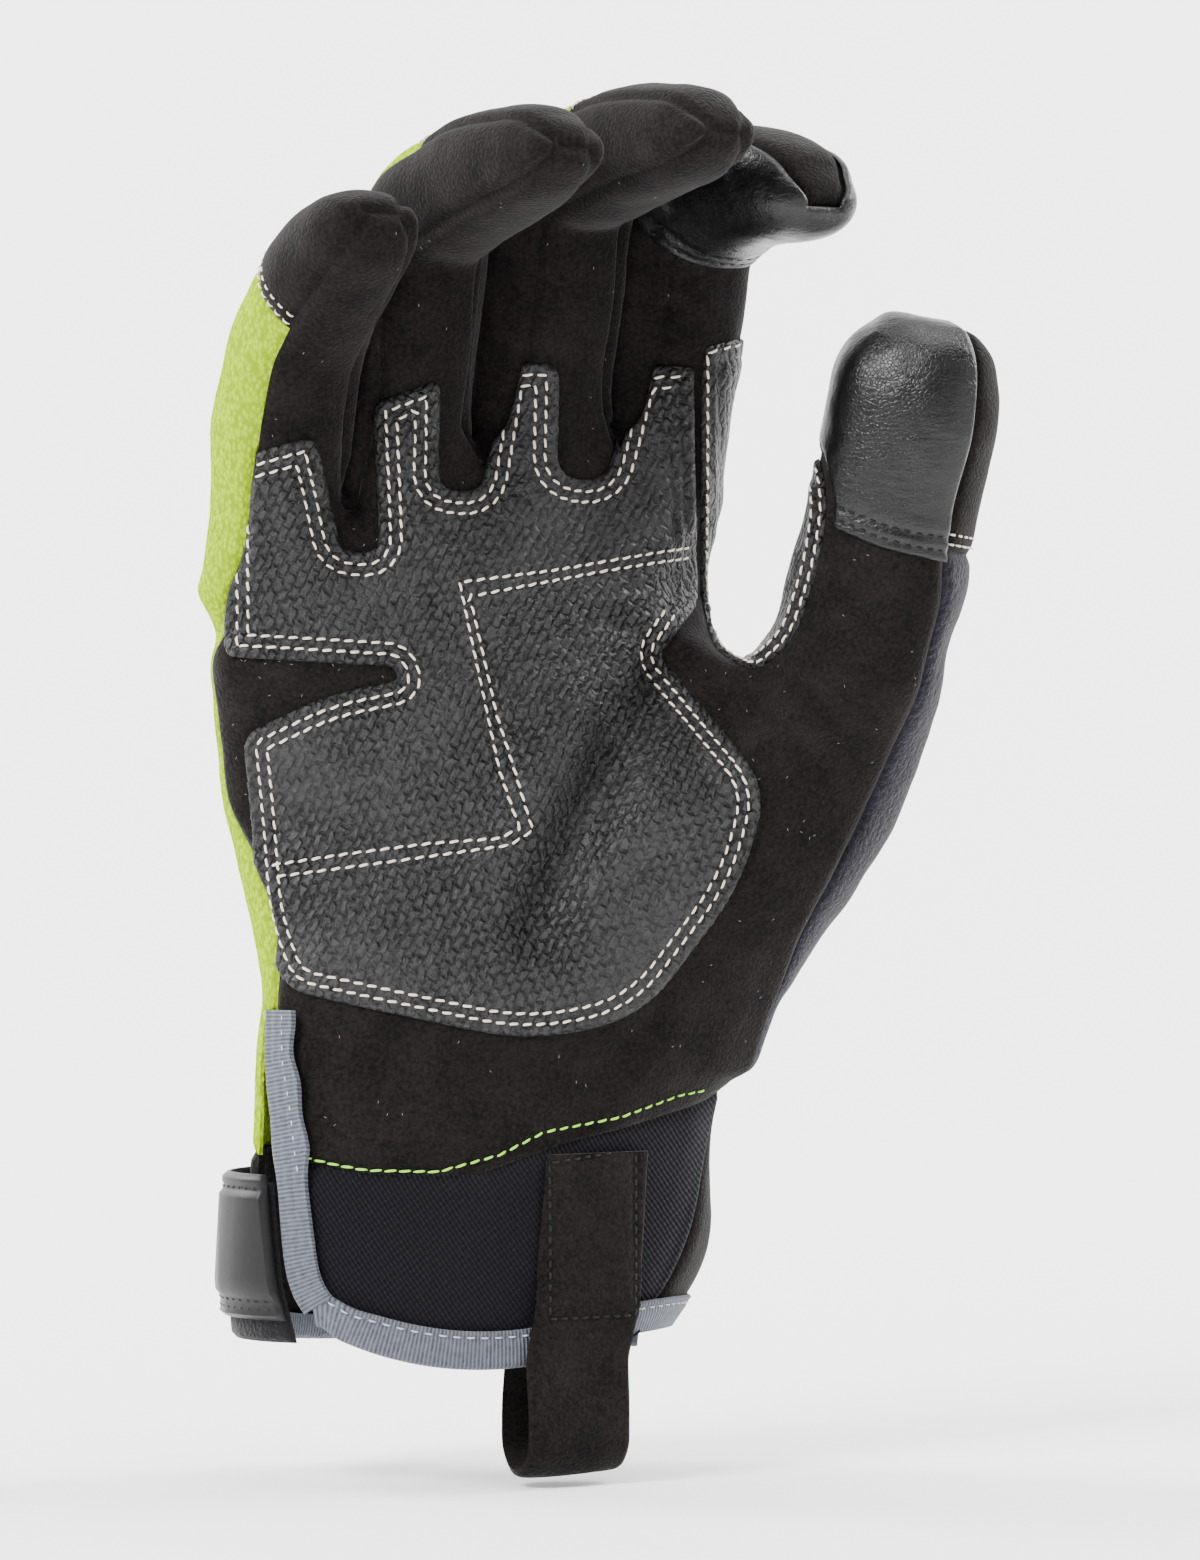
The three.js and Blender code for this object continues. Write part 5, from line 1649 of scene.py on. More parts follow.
@dataclass
class ClothPanels:
    """The sewn cloth panels and finger caps, with a valley along every seam."""

    skin: Skin
    seam_depth: float = 0.85
    seam_width: float = 1.15
    walls: dict[str, tuple[Finish, float]] = field(default_factory=lambda: {
        "palm_panel": (Finish.SUEDE, 1.2),
        "back_panel": (Finish.STRETCH, 1.5),
        "thumb_back_panel": (Finish.TERRY, 2.0),
        **{f"fourchette_{a}_{b}": (Finish.SUEDE, 1.2) for a, b in zip(FINGER_NAMES, FINGER_NAMES[1:])},
        **{f"finger_cap_{name}": (Finish.SUEDE, 1.2) for name in FINGER_NAMES},
        "thumb_cap": (Finish.SUEDE, 1.2),
        "cuff_front": (Finish.RIB, 2.0),
        "cuff_back": (Finish.SUEDE, 2.0),
    })

    def build(self) -> None:
        """Makes every panel."""
        for name, (finish, wall) in self.walls.items():
            sheet = self.skin.piece(name)
            drop = self.seam_depth * np.exp(-((sheet.border_distance() / self.seam_width) ** 2))
            points, faces = sheet.shell(-drop, -wall)
            add_piece(f"{name}_cloth", points, faces, finish, [name], flat_angle=70)
        self.seam_tree = surface_tree(self.skin.sheet.points, self.skin.sheet.faces)


@dataclass
class GripPatches:
    """The grip patch on the palm and the saddle over the thumb web."""

    skin: Skin
    inner_lines: tuple[tuple[tuple[float, float], ...], ...] = (
        ((-34.0, 87.5), (-20.1, 89.6), (-5.9, 91.4), (6.5, 92.3), (10.1, 94.1), (6.5, 104.4), (3.0, 120.4),
         (-0.6, 137.6), (15.4, 139.9), (40.6, 144.7)),
        ((-33.1, 85.5), (-11.2, 88.4), (8.3, 91.1), (12.4, 93.7), (9.2, 104.4), (6.0, 114.1), (1.2, 135.1),
         (24.3, 139.9), (40.6, 142.9)),
    )

    def build(self) -> None:
        """Makes both patches and their stitches."""
        low = sum(BODY_COUNTS[:3])
        breadth, height = SIZES.palm_breadth, SIZES.web_height
        palm = SewnPatch("palm_patch_grip", "palm_patch", Finish.GRIP, Outline(PALM_OUTLINE),
                         lines=tuple(np.array(line) for line in self.inner_lines),
                         bare=lambda row, line: (line[:, 0] > 0.36 * breadth)
                         & (line[:, 1] > 1.07 * height) & (line[:, 1] < 1.429 * height - row - 0.6),
                         facing=0.2)
        palm.build(self.skin.quads(
            lambda t: t.strip == "front" and t.tube != "thumb"
            and (t.row >= low if t.tube == "hand" else t.tube == "palm" or t.row < TAB_ROWS)
            or t.tube == "palm" and t.strip == "radial" and t.place < 2
            or t.tube == "thumb" and t.row < 2 and t.strip in ("front", "ulnar")
        ).split())
        saddle = SewnPatch("saddle_patch_grip", "saddle_patch", Finish.GRIP, Outline(SADDLE_OUTLINE),
                           rows=(1.1, 2.6),
                           bare=lambda row, line: (row > 2) & (line[:, 0] < 0.5 * breadth))
        saddle.build(self.skin.quads(self.in_saddle).split())
        seam = Seam("grip_stitches", CREAM)
        palm.sew(seam)
        saddle.sew(seam)
        seam.build()

    @staticmethod
    def in_saddle(t: QuadTag) -> bool:
        """Whether the saddle lies over a quad."""
        wraps = t.place + 1 < QUADS.side
        if t.tube == "palm":
            return wraps if t.strip == "radial" else t.strip == "front" and t.place >= QUADS.palm - 2
        if t.tube == "index" and t.row < TAB_ROWS:
            return wraps if t.strip == "radial" else t.strip == "front" and t.place >= QUADS.front - 2
        return t.tube == "thumb" and t.row < SADDLE_ROWS and (
            wraps if t.strip == "ulnar" else t.strip == "front" and t.place < 1)


@dataclass
class LeatherTips:
    """The smooth leather over the ends of the index finger and the thumb."""

    skin: Skin
    thickness: float = 0.95
    roll: float = 1.1
    rows: tuple[float, ...] = (1.7, 4.1)
    groove: float = 0.38
    groove_width: float = 0.6
    thumb_edge: tuple[tuple[float, float], ...] = (
        (66.2, 147.0), (74.0, 143.6), (80.0, 142.0), (87.5, 141.0))

    def build(self) -> None:
        """Makes both patches and their stitches."""
        seam = Seam("leather_stitches", BLACK)
        self.build_index(seam)
        rows = tuple(resampled(np.array(self.thumb_edge), 0.5) + (0, row) for row in self.rows)
        thumb = SewnPatch("thumb_tip_leather", "thumb_tip_patch", Finish.LEATHER, Outline(THUMB_OUTLINE),
                          self.thickness, self.roll, rows=(), groove=0.4, lines=rows)
        thumb.build(self.skin.quads(
            lambda t: t.tube == "thumb" and t.row >= THUMB_PATCH_ROW
            and (t.strip == "front" or (t.strip == "ulnar" and t.place < 2))
        ).split())
        thumb.sew(seam)
        seam.build()

    def build_index(self, seam: Seam) -> None:
        """Makes the patch that reaches round the index finger to the seam of its cap."""
        sheet = self.skin.quads(
            lambda t: t.tube == "index" and t.row >= INDEX_PATCH_ROW and t.strip != "back")
        below = self.skin.quads(
            lambda t: t.tube == "index" and t.row == INDEX_PATCH_ROW - 1 and t.strip != "back")
        edge = sheet.points[np.unique(sheet.border_edges())]
        lower = edge[nearest_distance(edge, below.points) < 0.05]
        from_lower = nearest_distance(sheet.points, lower)
        crown = rolled(sheet.border_distance(), self.roll)
        groove = sum(np.exp(-(((from_lower - r) / self.groove_width) ** 2)) for r in self.rows)
        height = PATCH_EDGE + (self.thickness - PATCH_EDGE) * crown - self.groove * groove
        points, faces = sheet.shell(height, PATCH_GAP)
        add_piece("index_tip_leather", points, faces, Finish.LEATHER, ["index_tip_patch"], flat_angle=60)
        for reach in self.rows:
            seam.row(*self.level_line(sheet, height, from_lower, reach))

    @staticmethod
    def level_line(sheet: Sheet, height: Array, distance: Array, reach: float) -> tuple[Array, Array]:
        """The line on the patch where the distance from its lower edge has a value."""
        lifted = sheet.points + sheet.normals * height[:, None]
        edges = np.unique(np.sort(np.stack((sheet.faces, np.roll(sheet.faces, -1, axis=1)), axis=2)
                                  .reshape(-1, 2), axis=1), axis=0)
        a, b = edges.T
        over = (distance[a] - reach) * (distance[b] - reach) < 0
        a, b = a[over], b[over]
        t = ((reach - distance[a]) / (distance[b] - distance[a]))[:, None]
        places, normals = lerp(lifted[a], lifted[b], t), unit(lerp(sheet.normals[a], sheet.normals[b], t))
        order = [int(np.argmin(places[:, 0] - places[:, 1]))]
        left = np.ones(len(places), dtype=bool)
        left[order[0]] = False
        while left.any():
            away = np.where(left, np.linalg.norm(places - places[order[-1]], axis=1), np.inf)
            nearest = int(np.argmin(away))
            if away[nearest] > 3:
                break
            order.append(nearest)
            left[nearest] = False
        places, normals = places[order], normals[order]
        return running_mean(places, 9), unit(running_mean(normals, 9))


@dataclass
class Binding:
    """Grey tape folded over the hem and over the slit's edge."""

    skin: Skin
    height: float = 5.5
    slit_height: float = 5.5
    gap: float = 0.35
    thickness: float = 1.15
    wall: float = 2.0
    slit_start: float = 1.6

    def frames(self, edge: list[int], inner: list[int]) -> tuple[Array, Array, Array]:
        """Places, ways out and ways in along an edge of the skin, finely spaced.

        Args:
            edge: the form's points along the edge.
            inner: the form's points next to them, inside the cloth.

        Returns:
            The places, the ways out of the cloth, and the ways from the edge into the cloth.
        """
        sheet = self.skin.sheet.part((self.skin.pieces != "")[self.skin.sheet.tags])
        form_places, inside = (np.array(self.skin.form.net.points)[ids] for ids in (edge, inner))
        follow = dict(sheet.border_edges().tolist())
        ids = np.array(list(follow))
        first, middle, last = (
            int(ids[np.argmin(np.linalg.norm(sheet.points[ids] - p, axis=1))])
            for p in (form_places[0], form_places[len(edge) // 2], form_places[-1])
        )
        for start, end, step in ((first, last, 1), (last, first, -1)):
            path = [start]
            while path[-1] != end:
                path.append(follow[path[-1]])
            if middle in path:
                path = path[::step]
                break
        places, out = sheet.points[path], sheet.normals[path]
        along = unit(np.cross(np.gradient(places, axis=0), out))
        nearest = [int(np.argmin(np.linalg.norm(form_places - p, axis=1))) for p in places]
        turned = np.sum(along * (inside[nearest] - form_places[nearest]), axis=1) < 0
        along[turned] *= -1
        fine = resampled(np.hstack((places, out * 3, along * 3)), 1.0)
        outs, alongs = (unit(running_mean(fine[:, k : k + 3], 15)) for k in (3, 6))
        return running_mean(fine[:, :3], 5), outs, alongs

    def profile(self, height: float, ridges: int) -> Array:
        """The tape's section: out and along, folded over the edge."""
        t, g, w = self.thickness, self.gap, self.wall
        outer = []
        for u in np.linspace(0, 1, 15):
            if ridges > 1:
                ridge = 0.28 * abs(math.cos(math.pi * ridges * u))
            else:
                ridge = -0.35 * math.exp(-((u - 0.2) / 0.07) ** 2)
            outer.append((g + t + ridge - 0.25 * (1 - u) ** 6 - 0.2, height * (1 - u)))
        fold = []
        radius = (w + 2 * g + 2 * t) / 2
        for a in np.linspace(0, math.pi, 9)[1:-1]:
            fold.append((g + t - radius + radius * math.cos(a), -(g + t) * math.sin(a)))
        inner = [(-w - g - t, 0.0), (-w - g - t, height * 0.6), (-w - g, height * 0.6), (-w - g, 0.2)]
        back = [(g, 0.2), (g, height)]
        return np.array([*outer, *fold, *inner, *back])

    def sweep(self, name: str, node: str, frames: tuple[Array, Array, Array], section: Array,
              spread: Array | float = 1.0) -> None:
        """Makes a tape from its section along frames, wider by spread."""
        places, outs, alongs = frames
        alongs = alongs * np.reshape(np.broadcast_to(spread, len(places)), (-1, 1))
        n, m = len(section), len(places)
        points = (places[:, None, :] + section[None, :, :1] * outs[:, None, :]
                  + section[None, :, 1:] * alongs[:, None, :])
        run = length_along(places)[:, None]
        uv = np.stack(np.broadcast_arrays(run * MM, np.arange(n)[None, :] * MM), axis=2)
        faces = []
        for i in range(m - 1):
            for k in range(n):
                a, b = i * n + k, i * n + (k + 1) % n
                faces.append([a, b, b + n, a + n])
        faces += [list(range(n))[::-1], [(m - 1) * n + k for k in range(n)]]
        flat = points.reshape(-1, 3)
        if signed_volume(flat, faces) < 0:
            faces = [f[::-1] for f in faces]
        add_piece(name, flat, faces, Finish.BINDING, [node], uv=uv.reshape(-1, 2), flat_angle=50)

    @staticmethod
    def slit_spread(height: Array) -> Array:
        """How wide the slit's tape is at heights: wider and a little wavy over the cuff's seam."""
        over = np.clip((height - SIZES.cuff_height * 0.8) / 6, 0, 1)
        return 1 + over * (0.2 + 0.07 * np.sin(height * 0.55))

    def build(self) -> None:
        """Makes both bindings and their stitches."""
        rows = self.skin.form.body_rows
        around = [[*r["front"], *r["radial"][1:], *r["back"][:-1][::-1]] for r in rows[:2]]
        hem = self.frames(around[0], around[1])
        self.sweep("hem_binding_tape", "hem_binding", hem, self.profile(self.height, 1))
        slit_rows = rows[: SLIT_TOP_ROW + 1]
        firsts, seconds = ([row["front"][k] for row in slit_rows] for k in (0, 1))
        places, outs, alongs = self.frames(firsts, seconds)
        away = np.linalg.norm(places - places[0], axis=1)
        start = int(np.argmax(away > self.slit_start))
        self.sweep("slit_binding_tape", "slit_binding", (places[start:], outs[start:], alongs[start:]),
                   self.profile(self.slit_height, 3), self.slit_spread(places[start:, 2]))
        seam = Seam("binding_stitches", PALE)
        level = self.height * 0.8
        seam.row(hem[0] + hem[1] * (self.gap + self.thickness - 0.4) + hem[2] * level, hem[1])
        upper = places[:, 2] > SIZES.cuff_height * 0.85
        seam.row((places + outs * (self.gap + self.thickness - 0.1) + alongs * level)[upper], outs[upper])
        seam.build()


def running_mean(values: Array, width: int) -> Array:
    """Values along a line, each the mean of its neighbours; the ends stay in place."""
    half = width // 2
    before = 2 * values[:1] - values[half:0:-1]
    after = 2 * values[-1:] - values[-2:-half - 2:-1]
    padded = np.vstack((before, values, after))
    even = np.ones(width) / width
    return np.stack([np.convolve(column, even, "valid") for column in padded.T], axis=1)


def signed_volume(points: Array, faces: Faces) -> float:
    """The volume that faces enclose, negative when they face inwards."""
    total = 0.0
    for face in faces:
        for k in range(1, len(face) - 1):
            a, b, c = points[face[0]], points[face[k]], points[face[k + 1]]
            total += float(a @ np.cross(b, c)) / 6
    return total


def closed_slab(tops: Array, lows: Array, rows: int, columns: int) -> tuple[Array, Array]:
    """A closed slab between two grids of points, its faces outwards.

    Args:
        tops: the points of the upper grid, row by row.
        lows: the points of the lower grid.
        rows: how many rows a grid has.
        columns: how many columns it has.

    Returns:
        The points and the quads, those of the upper grid first.
    """
    count = rows * columns
    grid = np.arange(count).reshape(rows, columns)
    quads = np.stack((grid[:-1, :-1], grid[1:, :-1], grid[1:, 1:], grid[:-1, 1:]), axis=2).reshape(-1, 4)
    sheet = Sheet(tops, np.zeros_like(tops), quads, np.zeros(len(quads), dtype=int))
    rim = sheet.border_edges()
    walls = np.stack((rim[:, 1], rim[:, 0], rim[:, 0] + count, rim[:, 1] + count), axis=1)
    faces = np.vstack((quads, quads[:, ::-1] + count, walls))
    points = np.vstack((tops, lows))
    if signed_volume(points, faces) < 0:
        faces = faces[:, ::-1]
    return points, faces


@dataclass
class WristStrap:
    """The closing strap round the back of the cuff, with its moulded tab and the pad under it."""

    low: float = 3.6
    width: float = 28.0
    end: float = -125.0
    pad_thickness: float = 1.2
    strap_thickness: float = 1.2
    tab_thickness: float = 1.6
    gap: float = 0.3
    slit_clear: float = 7.0
    tab_end: float = 17 / 18
    pad_ends: tuple[float, float] = (8 / 18, 16 / 18)
    tab_rows: tuple[float, ...] = (0.075, 0.13, 0.9)
    grid: tuple[int, int] = (110, 34)
    stations: int = 60

    def ring_at(self, z: float) -> tuple[Ring, float]:
        """The cuff's ring at a height, and its slit angle."""
        share = z / SIZES.web_height
        heights = [row.height for row in BODY_ROWS]

        def column(name: str) -> float:
            """A column of the body rows at this height."""
            return float(np.interp(share, heights, [getattr(row, name) for row in BODY_ROWS]))

        spread, shift, flat, yaw, ulnar = (
            column(name) for name in ("spread", "shift", "flat", "yaw", "ulnar")
        )
        row = BodyRow(share, spread, shift, flat, yaw, 0, ulnar, 0, 45)
        return body_ring(row), row.ulnar

    def skin_at(self, angle: float, z: float) -> tuple[Array, Array]:
        """A place on the cuff's skin and the way out of it."""
        ring, _ = self.ring_at(z)
        ahead, here, behind = ring.points(np.array((angle + 0.5, angle, angle - 0.5)))
        return here, unit(np.cross(ahead - behind, UP))

    def slab(self, name: str, node: str, finish: Finish, low: float, high: float, first: float, last: float,
             heights: Callable[[float, float], tuple[float, float]]) -> None:
        """A closed slab over the cuff.

        Args:
            name: the piece's name.
            node: the solid that it stands for.
            finish: its finish.
            low: its lower edge.
            high: its upper edge.
            first: where it starts, as a share of the strap's length.
            last: where it ends.
            heights: inner and outer height over the skin at shares along and across.
        """
        m, n = self.grid
        tops, lows = [], []
        for i in range(m):
            for j in range(n):
                u, v = i / (m - 1), j / (n - 1)
                place, out = self.along(lerp(first, last, u), lerp(low, high, v))
                inner, outer = heights(u, v)
                tops.append(place + out * outer)
                lows.append(place + out * inner)
        points, faces = closed_slab(np.array(tops), np.array(lows), m, n)
        add_piece(name, points, faces, finish, [node], flat_angle=50)

    def along(self, share: float, z: float) -> tuple[Array, Array]:
        """The skin's place and way out at a share of the strap's length and a height."""
        _, slit = self.ring_at(z)
        return self.skin_at(lerp(slit - self.slit_clear, self.end, share), z)

    def lift(self, share: float) -> float:
        """Height of the strap's inner face over the skin."""
        return lerp(-0.4, 2 * self.gap + self.pad_thickness, min(max(share * 6, 0), 1))

    def build(self) -> None:
        """Makes the strap, the tab and the pad."""
        high = self.low + self.width

        def edge(u: float, v: float, wide: float, tall: float) -> float:
            """How full the slab is near its rim."""
            a = min(u * wide, (1 - u) * wide, v * tall, (1 - v) * tall)
            return math.sqrt(max(0.0, 1 - (1 - min(a, 1)) ** 2))

        self.slab("strap_base_cloth", "strap_base", Finish.FLEECE, self.low, high, 0, 1,
                  lambda u, v: (self.lift(u),
                                self.lift(u) + self.strap_thickness * (0.4 + 0.6 * edge(u, v, 90, 26))))

        def tab(u: float, v: float) -> tuple[float, float]:
            """Height of the tab: a raised panel inside stitched grooves."""
            base = self.lift(u * self.tab_end) + self.strap_thickness + 2 * self.gap
            groove = sum(math.exp(-(((v - at) / 0.02) ** 2)) for at in self.tab_rows)
            body = 0.8 + 0.25 * (0.17 < v < 0.86)
            full = 0.3 + 0.7 * edge(u, v, 100, 22)
            return base - 0.2, base + self.tab_thickness * full * body - 0.5 * groove

        self.slab("strap_tab_rubber", "strap_tab", Finish.RUBBER, self.low + 4, high + 1.5,
                  0, self.tab_end, tab)
        self.slab("loop_pad_fleece", "loop_pad", Finish.FLEECE, self.low + 6, high - 3, *self.pad_ends,
                  lambda u, v: (self.gap, self.gap + self.pad_thickness * (0.4 + 0.6 * edge(u, v, 40, 19))))
        seam = Seam("tab_stitches", BLACK)
        for v in self.tab_rows:
            z = lerp(self.low + 4, high + 1.5, v)
            places, outs = [], []
            for u in np.linspace(0.02, 0.98, self.stations):
                place, out = self.along(u * self.tab_end, z)
                places.append(place + out * (tab(u, v)[1] + 0.05))
                outs.append(out)
            seam.row(np.array(places), np.array(outs))
        seam.build()


@dataclass
class PullLoop:
    """The suede tape loop on the palm side of the cuff.

    The first sewn rows of its grid lie over the cuff, and level of them give the tape's middle.
    """

    strap: WristStrap
    angle: float = 101.7
    width: float = 21.0
    thickness: float = 1.3
    drop: float = 19.5
    bend: float = 4.2
    hem_height: float = 5.5
    hem_clear: float = 0.48
    hem_thickness: float = 1.0
    gap: float = 0.3
    sewn: int = 120
    level: int = 50
    columns: int = 45
    groove: float = 0.38
    groove_width: float = 0.65
    box_top: tuple[float, float] = (35.0, 37.0)
    box_low: float = 7.5

    def route(self) -> list[tuple[float, float]]:
        """Heights and offsets along the tape."""
        over = self.hem_clear + self.hem_thickness + 3 * self.gap
        behind = -2.0 - over - 0.6
        depth = (over - behind) / 2
        low = -self.drop + self.bend
        route = [(SIZES.cuff_height - 1.5, 2 * self.gap), (28.0, 2 * self.gap), (16.0, 2 * self.gap),
                 (self.hem_height + 4, over), (0.0, over), (-8.0, over + 0.8), (low, over + 0.8)]
        for i in range(1, 6):
            turn = math.pi * i / 6
            route.append((low - self.bend * math.sin(turn), over - depth + depth * math.cos(turn)))
        route += [(low, behind - 0.8), (-8.0, behind - 0.8), (0.0, behind), (self.hem_height + 2, behind)]
        return route

    def build(self) -> None:
        """Makes the loop and its box of stitches."""
        route = resampled(np.array(self.route()), 0.5)
        _, out = self.strap.skin_at(self.angle, 8.0)
        across = unit(np.cross(out, UP))
        centres = np.array([
            np.append(self.strap.skin_at(self.angle, max(z, 0.0))[0][:2], z) + out * off for z, off in route
        ])
        for _ in range(8):
            centres[1:-1] = (centres[:-2] + 2 * centres[1:-1] + centres[2:]) / 4
        run = unit(np.gradient(centres, axis=0))
        faces_out = unit(np.cross(across, run))
        n = self.columns
        shares = np.linspace(-1, 1, n)
        rim = np.sqrt(np.maximum(1 - np.abs(shares) ** 14, 0))
        down = np.clip((SIZES.cuff_height - centres[:, 2]) / 40, 0, 2)
        wave = 0.35 * np.sin(down[:, None] * 5 + shares[None, :] * 1.6)
        top = (centres[:, None, :] + across * (shares * self.width / 2)[None, :, None]
               + faces_out[:, None, :] * (self.thickness * rim[None, :, None] + wave[:, :, None]))
        low = top - faces_out[:, None, :] * (self.thickness * rim)[None, :, None] * 0.98
        middle = float(np.mean(centres[: self.level, 0]))
        half = self.width / 2 * abs(across[0]) - 1.5
        left, right = middle - half, middle + half
        start = (left, self.box_top[0])
        corners = [start, (right, self.box_top[1]), (right, self.box_low), (left, self.box_low), start]
        box = resampled(np.array(corners), 0.4)
        seen = top[: self.sewn].reshape(-1, 3)[:, (0, 2)]
        away = nearest_distance(laid_flat(seen), laid_flat(box)).reshape(-1, n)
        groove = self.groove * np.exp(-((away / self.groove_width) ** 2))
        top[: self.sewn] -= faces_out[: self.sewn, None, :] * groove[:, :, None]
        points, faces = closed_slab(top.reshape(-1, 3), low.reshape(-1, 3), len(centres), n)
        add_piece("pull_loop_tape", points, faces, Finish.SUEDE, ["pull_loop"], flat_angle=50)
        tree = surface_tree(points, faces[: (len(centres) - 1) * (n - 1)])
        seam = Seam("loop_stitches", BLACK)
        for places, outs in seen_rows(box, tree):
            seam.row(places, outs)
        seam.build()


@dataclass
class PanelStitches:
    """The stitch rows on the panels themselves."""

    panels: ClothPanels
    cap_rows: tuple[float, ...] = (1.3, 3.1)
    lime_line: tuple[tuple[float, float], ...] = (
        (-28.5, 36.5), (-21.9, 35.1), (-16.6, 34.2), (-4.1, 33.8), (6.5, 36.5), (14.5, 40.4), (27.9, 42.6),
        (38.5, 46.1), (43.3, 46.8))
    lime_ends: tuple[tuple[tuple[float, float], ...], ...] = (
        ((14.4, 219.6), (15.6, 220.2), (17.2, 219.8)), ((45.2, 224.2), (46.6, 223.8), (47.6, 223.2)))

    def build(self) -> None:
        """Makes the lime row over the cuff's seam, its loose ends at two tips, and the rows on the caps."""
        lime = Seam("lime_stitches", LIME)
        for line in (self.lime_line, *self.lime_ends):
            path = resampled(np.array(line), 0.4)
            for places, outs in seen_rows(path, self.panels.seam_tree, lift=0.05, facing=0.2):
                lime.row(places, outs)
        lime.build()
        cream = Seam("cap_stitches", CAP_CREAM)
        for tube in (*FINGER_NAMES, "thumb"):
            self.sew_cap(cream, tube)
        cream.build()

    def sew_cap(self, seam: Seam, tube: str) -> None:
        """Adds the rows over the lower edge of a finger's or the thumb's cap."""
        row = THUMB_CAP_ROW if tube == "thumb" else CAP_ROW
        strips = {"thumb": ("back", "radial"), "pinky": ("back", "ulnar")}.get(tube, ("back",))
        skin = self.panels.skin
        low, high = (skin.quads(lambda t, at=at: t.tube == tube and t.row == at and t.strip in strips)
                     for at in (row - 1, row))
        shared = high.points[nearest_distance(high.points, low.points) < 0.01]
        run = unit(high.points.mean(axis=0) - low.points.mean(axis=0))
        centred = shared - shared.mean(axis=0)
        axis = np.linalg.svd(centred, full_matrices=False)[2][0]
        edge = shared[np.argsort(centred @ axis)]
        for reach in self.cap_rows:
            places, outs = [], []
            for place in edge:
                near, normal, _, _ = self.panels.seam_tree.find_nearest(Vector(place + run * reach))
                places.append(np.array(near) + np.array(normal) * 0.05)
                outs.append(np.array(normal))
            seam.row(np.array(places), np.array(outs))


@dataclass
class Lint:
    """Specks of lint caught in the suede."""

    panels: ClothPanels
    count: int = 330
    seed: int = 11

    def build(self) -> None:
        """Makes the specks."""
        sheet = self.panels.skin.piece("palm_panel")
        tree = surface_tree(sheet.points, sheet.faces)
        whole = self.panels.seam_tree
        draw = np.random.default_rng(self.seed)
        seam = Seam("lint_specks", Thread(Finish.LINT, 1.0, 0.5, 0.045, dip=0.0))
        seam.along, seam.around = 3, 4
        for x, z, turn in draw.uniform((-45, 40, 0), (95, 225, math.tau), (self.count, 3)):
            start, ahead = Vector((x, VIEWER, z)), Vector((0, 1, 0))
            hit, normal, _, _ = tree.ray_cast(start, ahead)
            first = whole.ray_cast(start, ahead)[0]
            if hit is None or (hit - first).length > 0.1:
                continue
            out = np.array(normal)
            seam.stitch(np.array(hit) + out * 0.03, np.array((math.cos(turn), 0.0, math.sin(turn))), out)
        seam.build()


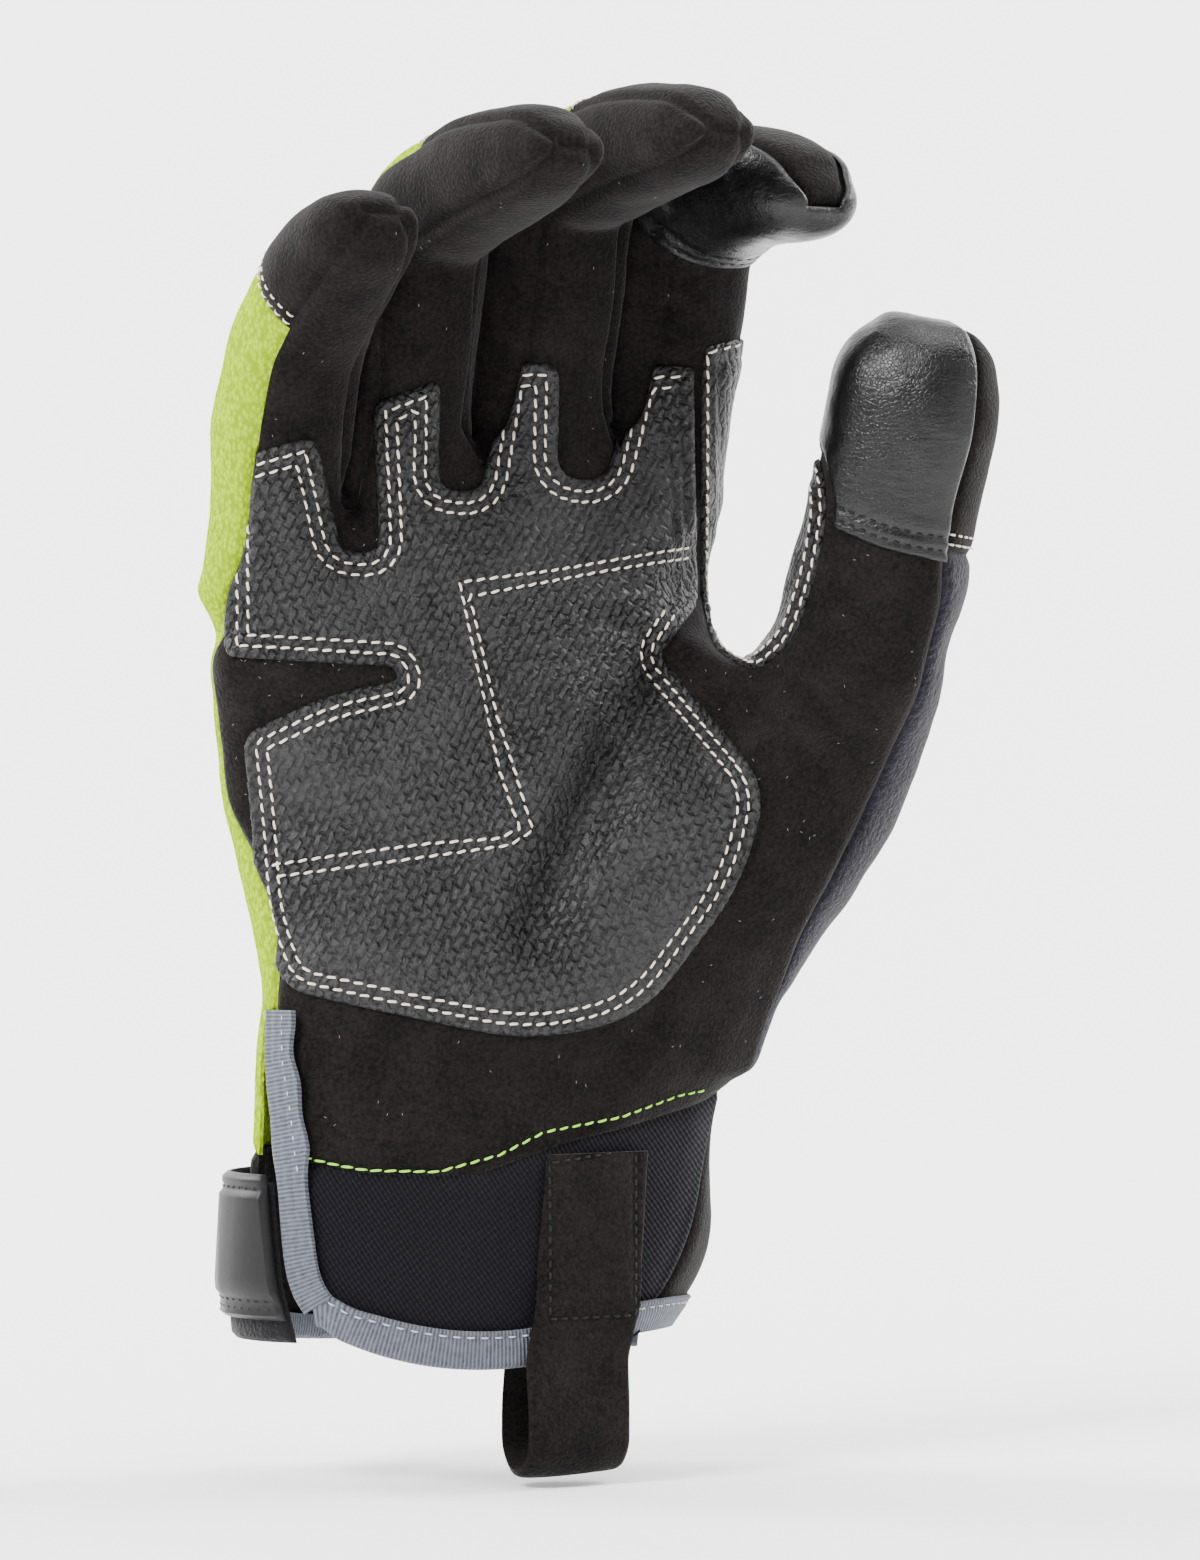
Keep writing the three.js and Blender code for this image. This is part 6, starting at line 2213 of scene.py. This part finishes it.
@dataclass
class Studio:
    """Plain pale floor and backdrop, soft light and the camera."""

    distance: float = 1.1
    eye: tuple[float, float] = (0.0243, 0.1026)
    view_height: float = 0.2808
    floor: float = -0.0225
    wall: float = 1.5
    wall_top: float = 4.0
    sweep: float = 0.6
    reach: float = 9.0
    surround: float = 0.3
    lamps: tuple[tuple[str, Triple, Triple, float, float], ...] = (
        ("key", (-0.75, -0.8, 0.95), (0.02, 0.0, 0.11), 0.45, 34.0),
        ("fill", (1.1, -0.9, 0.25), (0.02, 0.0, 0.11), 0.9, 6.0),
        ("top", (0.15, -0.1, 1.1), (0.02, 0.0, 0.11), 0.7, 10.0),
        ("wall_left", (-1.3, 0.6, 1.0), (0.0, 1.4, 0.3), 0.9, 60.0),
        ("wall_right", (1.3, 0.6, 1.0), (0.0, 1.4, 0.3), 0.9, 60.0),
    )

    def build(self) -> None:
        """Makes the stage."""
        self.backdrop()
        self.lights()
        self.camera()

    def backdrop(self) -> None:
        """A floor that sweeps up into a wall."""
        turn = np.linspace(0, math.pi / 2, 17)
        inner = self.wall - self.sweep
        sweep = [(inner + self.sweep * math.sin(a), self.floor + self.sweep * (1 - math.cos(a)))
                 for a in turn]
        line = [(-self.reach, self.floor), *sweep, (self.wall, self.wall_top)]
        points = [(x, y, z) for y, z in line for x in (-self.reach, self.reach)]
        faces = [(2 * i, 2 * i + 1, 2 * i + 3, 2 * i + 2) for i in range(len(line) - 1)]
        mesh = bpy.data.meshes.new("studio_sweep")
        mesh.from_pydata(points, [], faces)
        mesh.shade_smooth()
        mesh.materials.append(Surface("studio_white", (252, 252, 252), 0.95).material)
        floor = put_in_scene("studio_sweep", mesh)

    def lights(self) -> None:
        """A white surround, a big key and a fill."""
        world = bpy.data.worlds.new("studio_surround")
        bpy.context.scene.world = world
        world.use_nodes = True
        background = world.node_tree.nodes["Background"]
        background.inputs["Color"].default_value = (1.0, 1.0, 1.0, 1.0)
        background.inputs["Strength"].default_value = self.surround
        for name, place, target, size, power in self.lamps:
            light = bpy.data.lights.new(name, "AREA")
            light.size = size
            light.energy = power
            lamp = put_in_scene(name, light)
            lamp.location = place
            aim = Vector(target) - Vector(place)
            lamp.rotation_euler = aim.to_track_quat("-Z", "Y").to_euler()

    def camera(self) -> None:
        """The camera at the photograph's angle."""
        data = bpy.data.cameras.new("view")
        data.sensor_fit = "VERTICAL"
        data.sensor_height = 24
        data.lens = data.sensor_height * self.distance / self.view_height
        camera = put_in_scene("view", data)
        camera.location = (self.eye[0], -self.distance, self.eye[1])
        camera.rotation_euler = (math.radians(90), 0, 0)
        bpy.context.scene.camera = camera


def main() -> None:
    """Builds the glove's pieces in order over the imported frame."""
    logging.basicConfig(level=logging.INFO, format="%(name)s %(message)s")
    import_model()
    skin = Skin(HandForm(), levels=3)
    panels = ClothPanels(skin)
    panels.build()
    GripPatches(skin).build()
    LeatherTips(skin).build()
    Binding(skin).build()
    strap = WristStrap()
    strap.build()
    PullLoop(strap).build()
    PanelStitches(panels).build()
    Lint(panels).build()
    Studio().build()


if __name__ == "__main__":
    main()
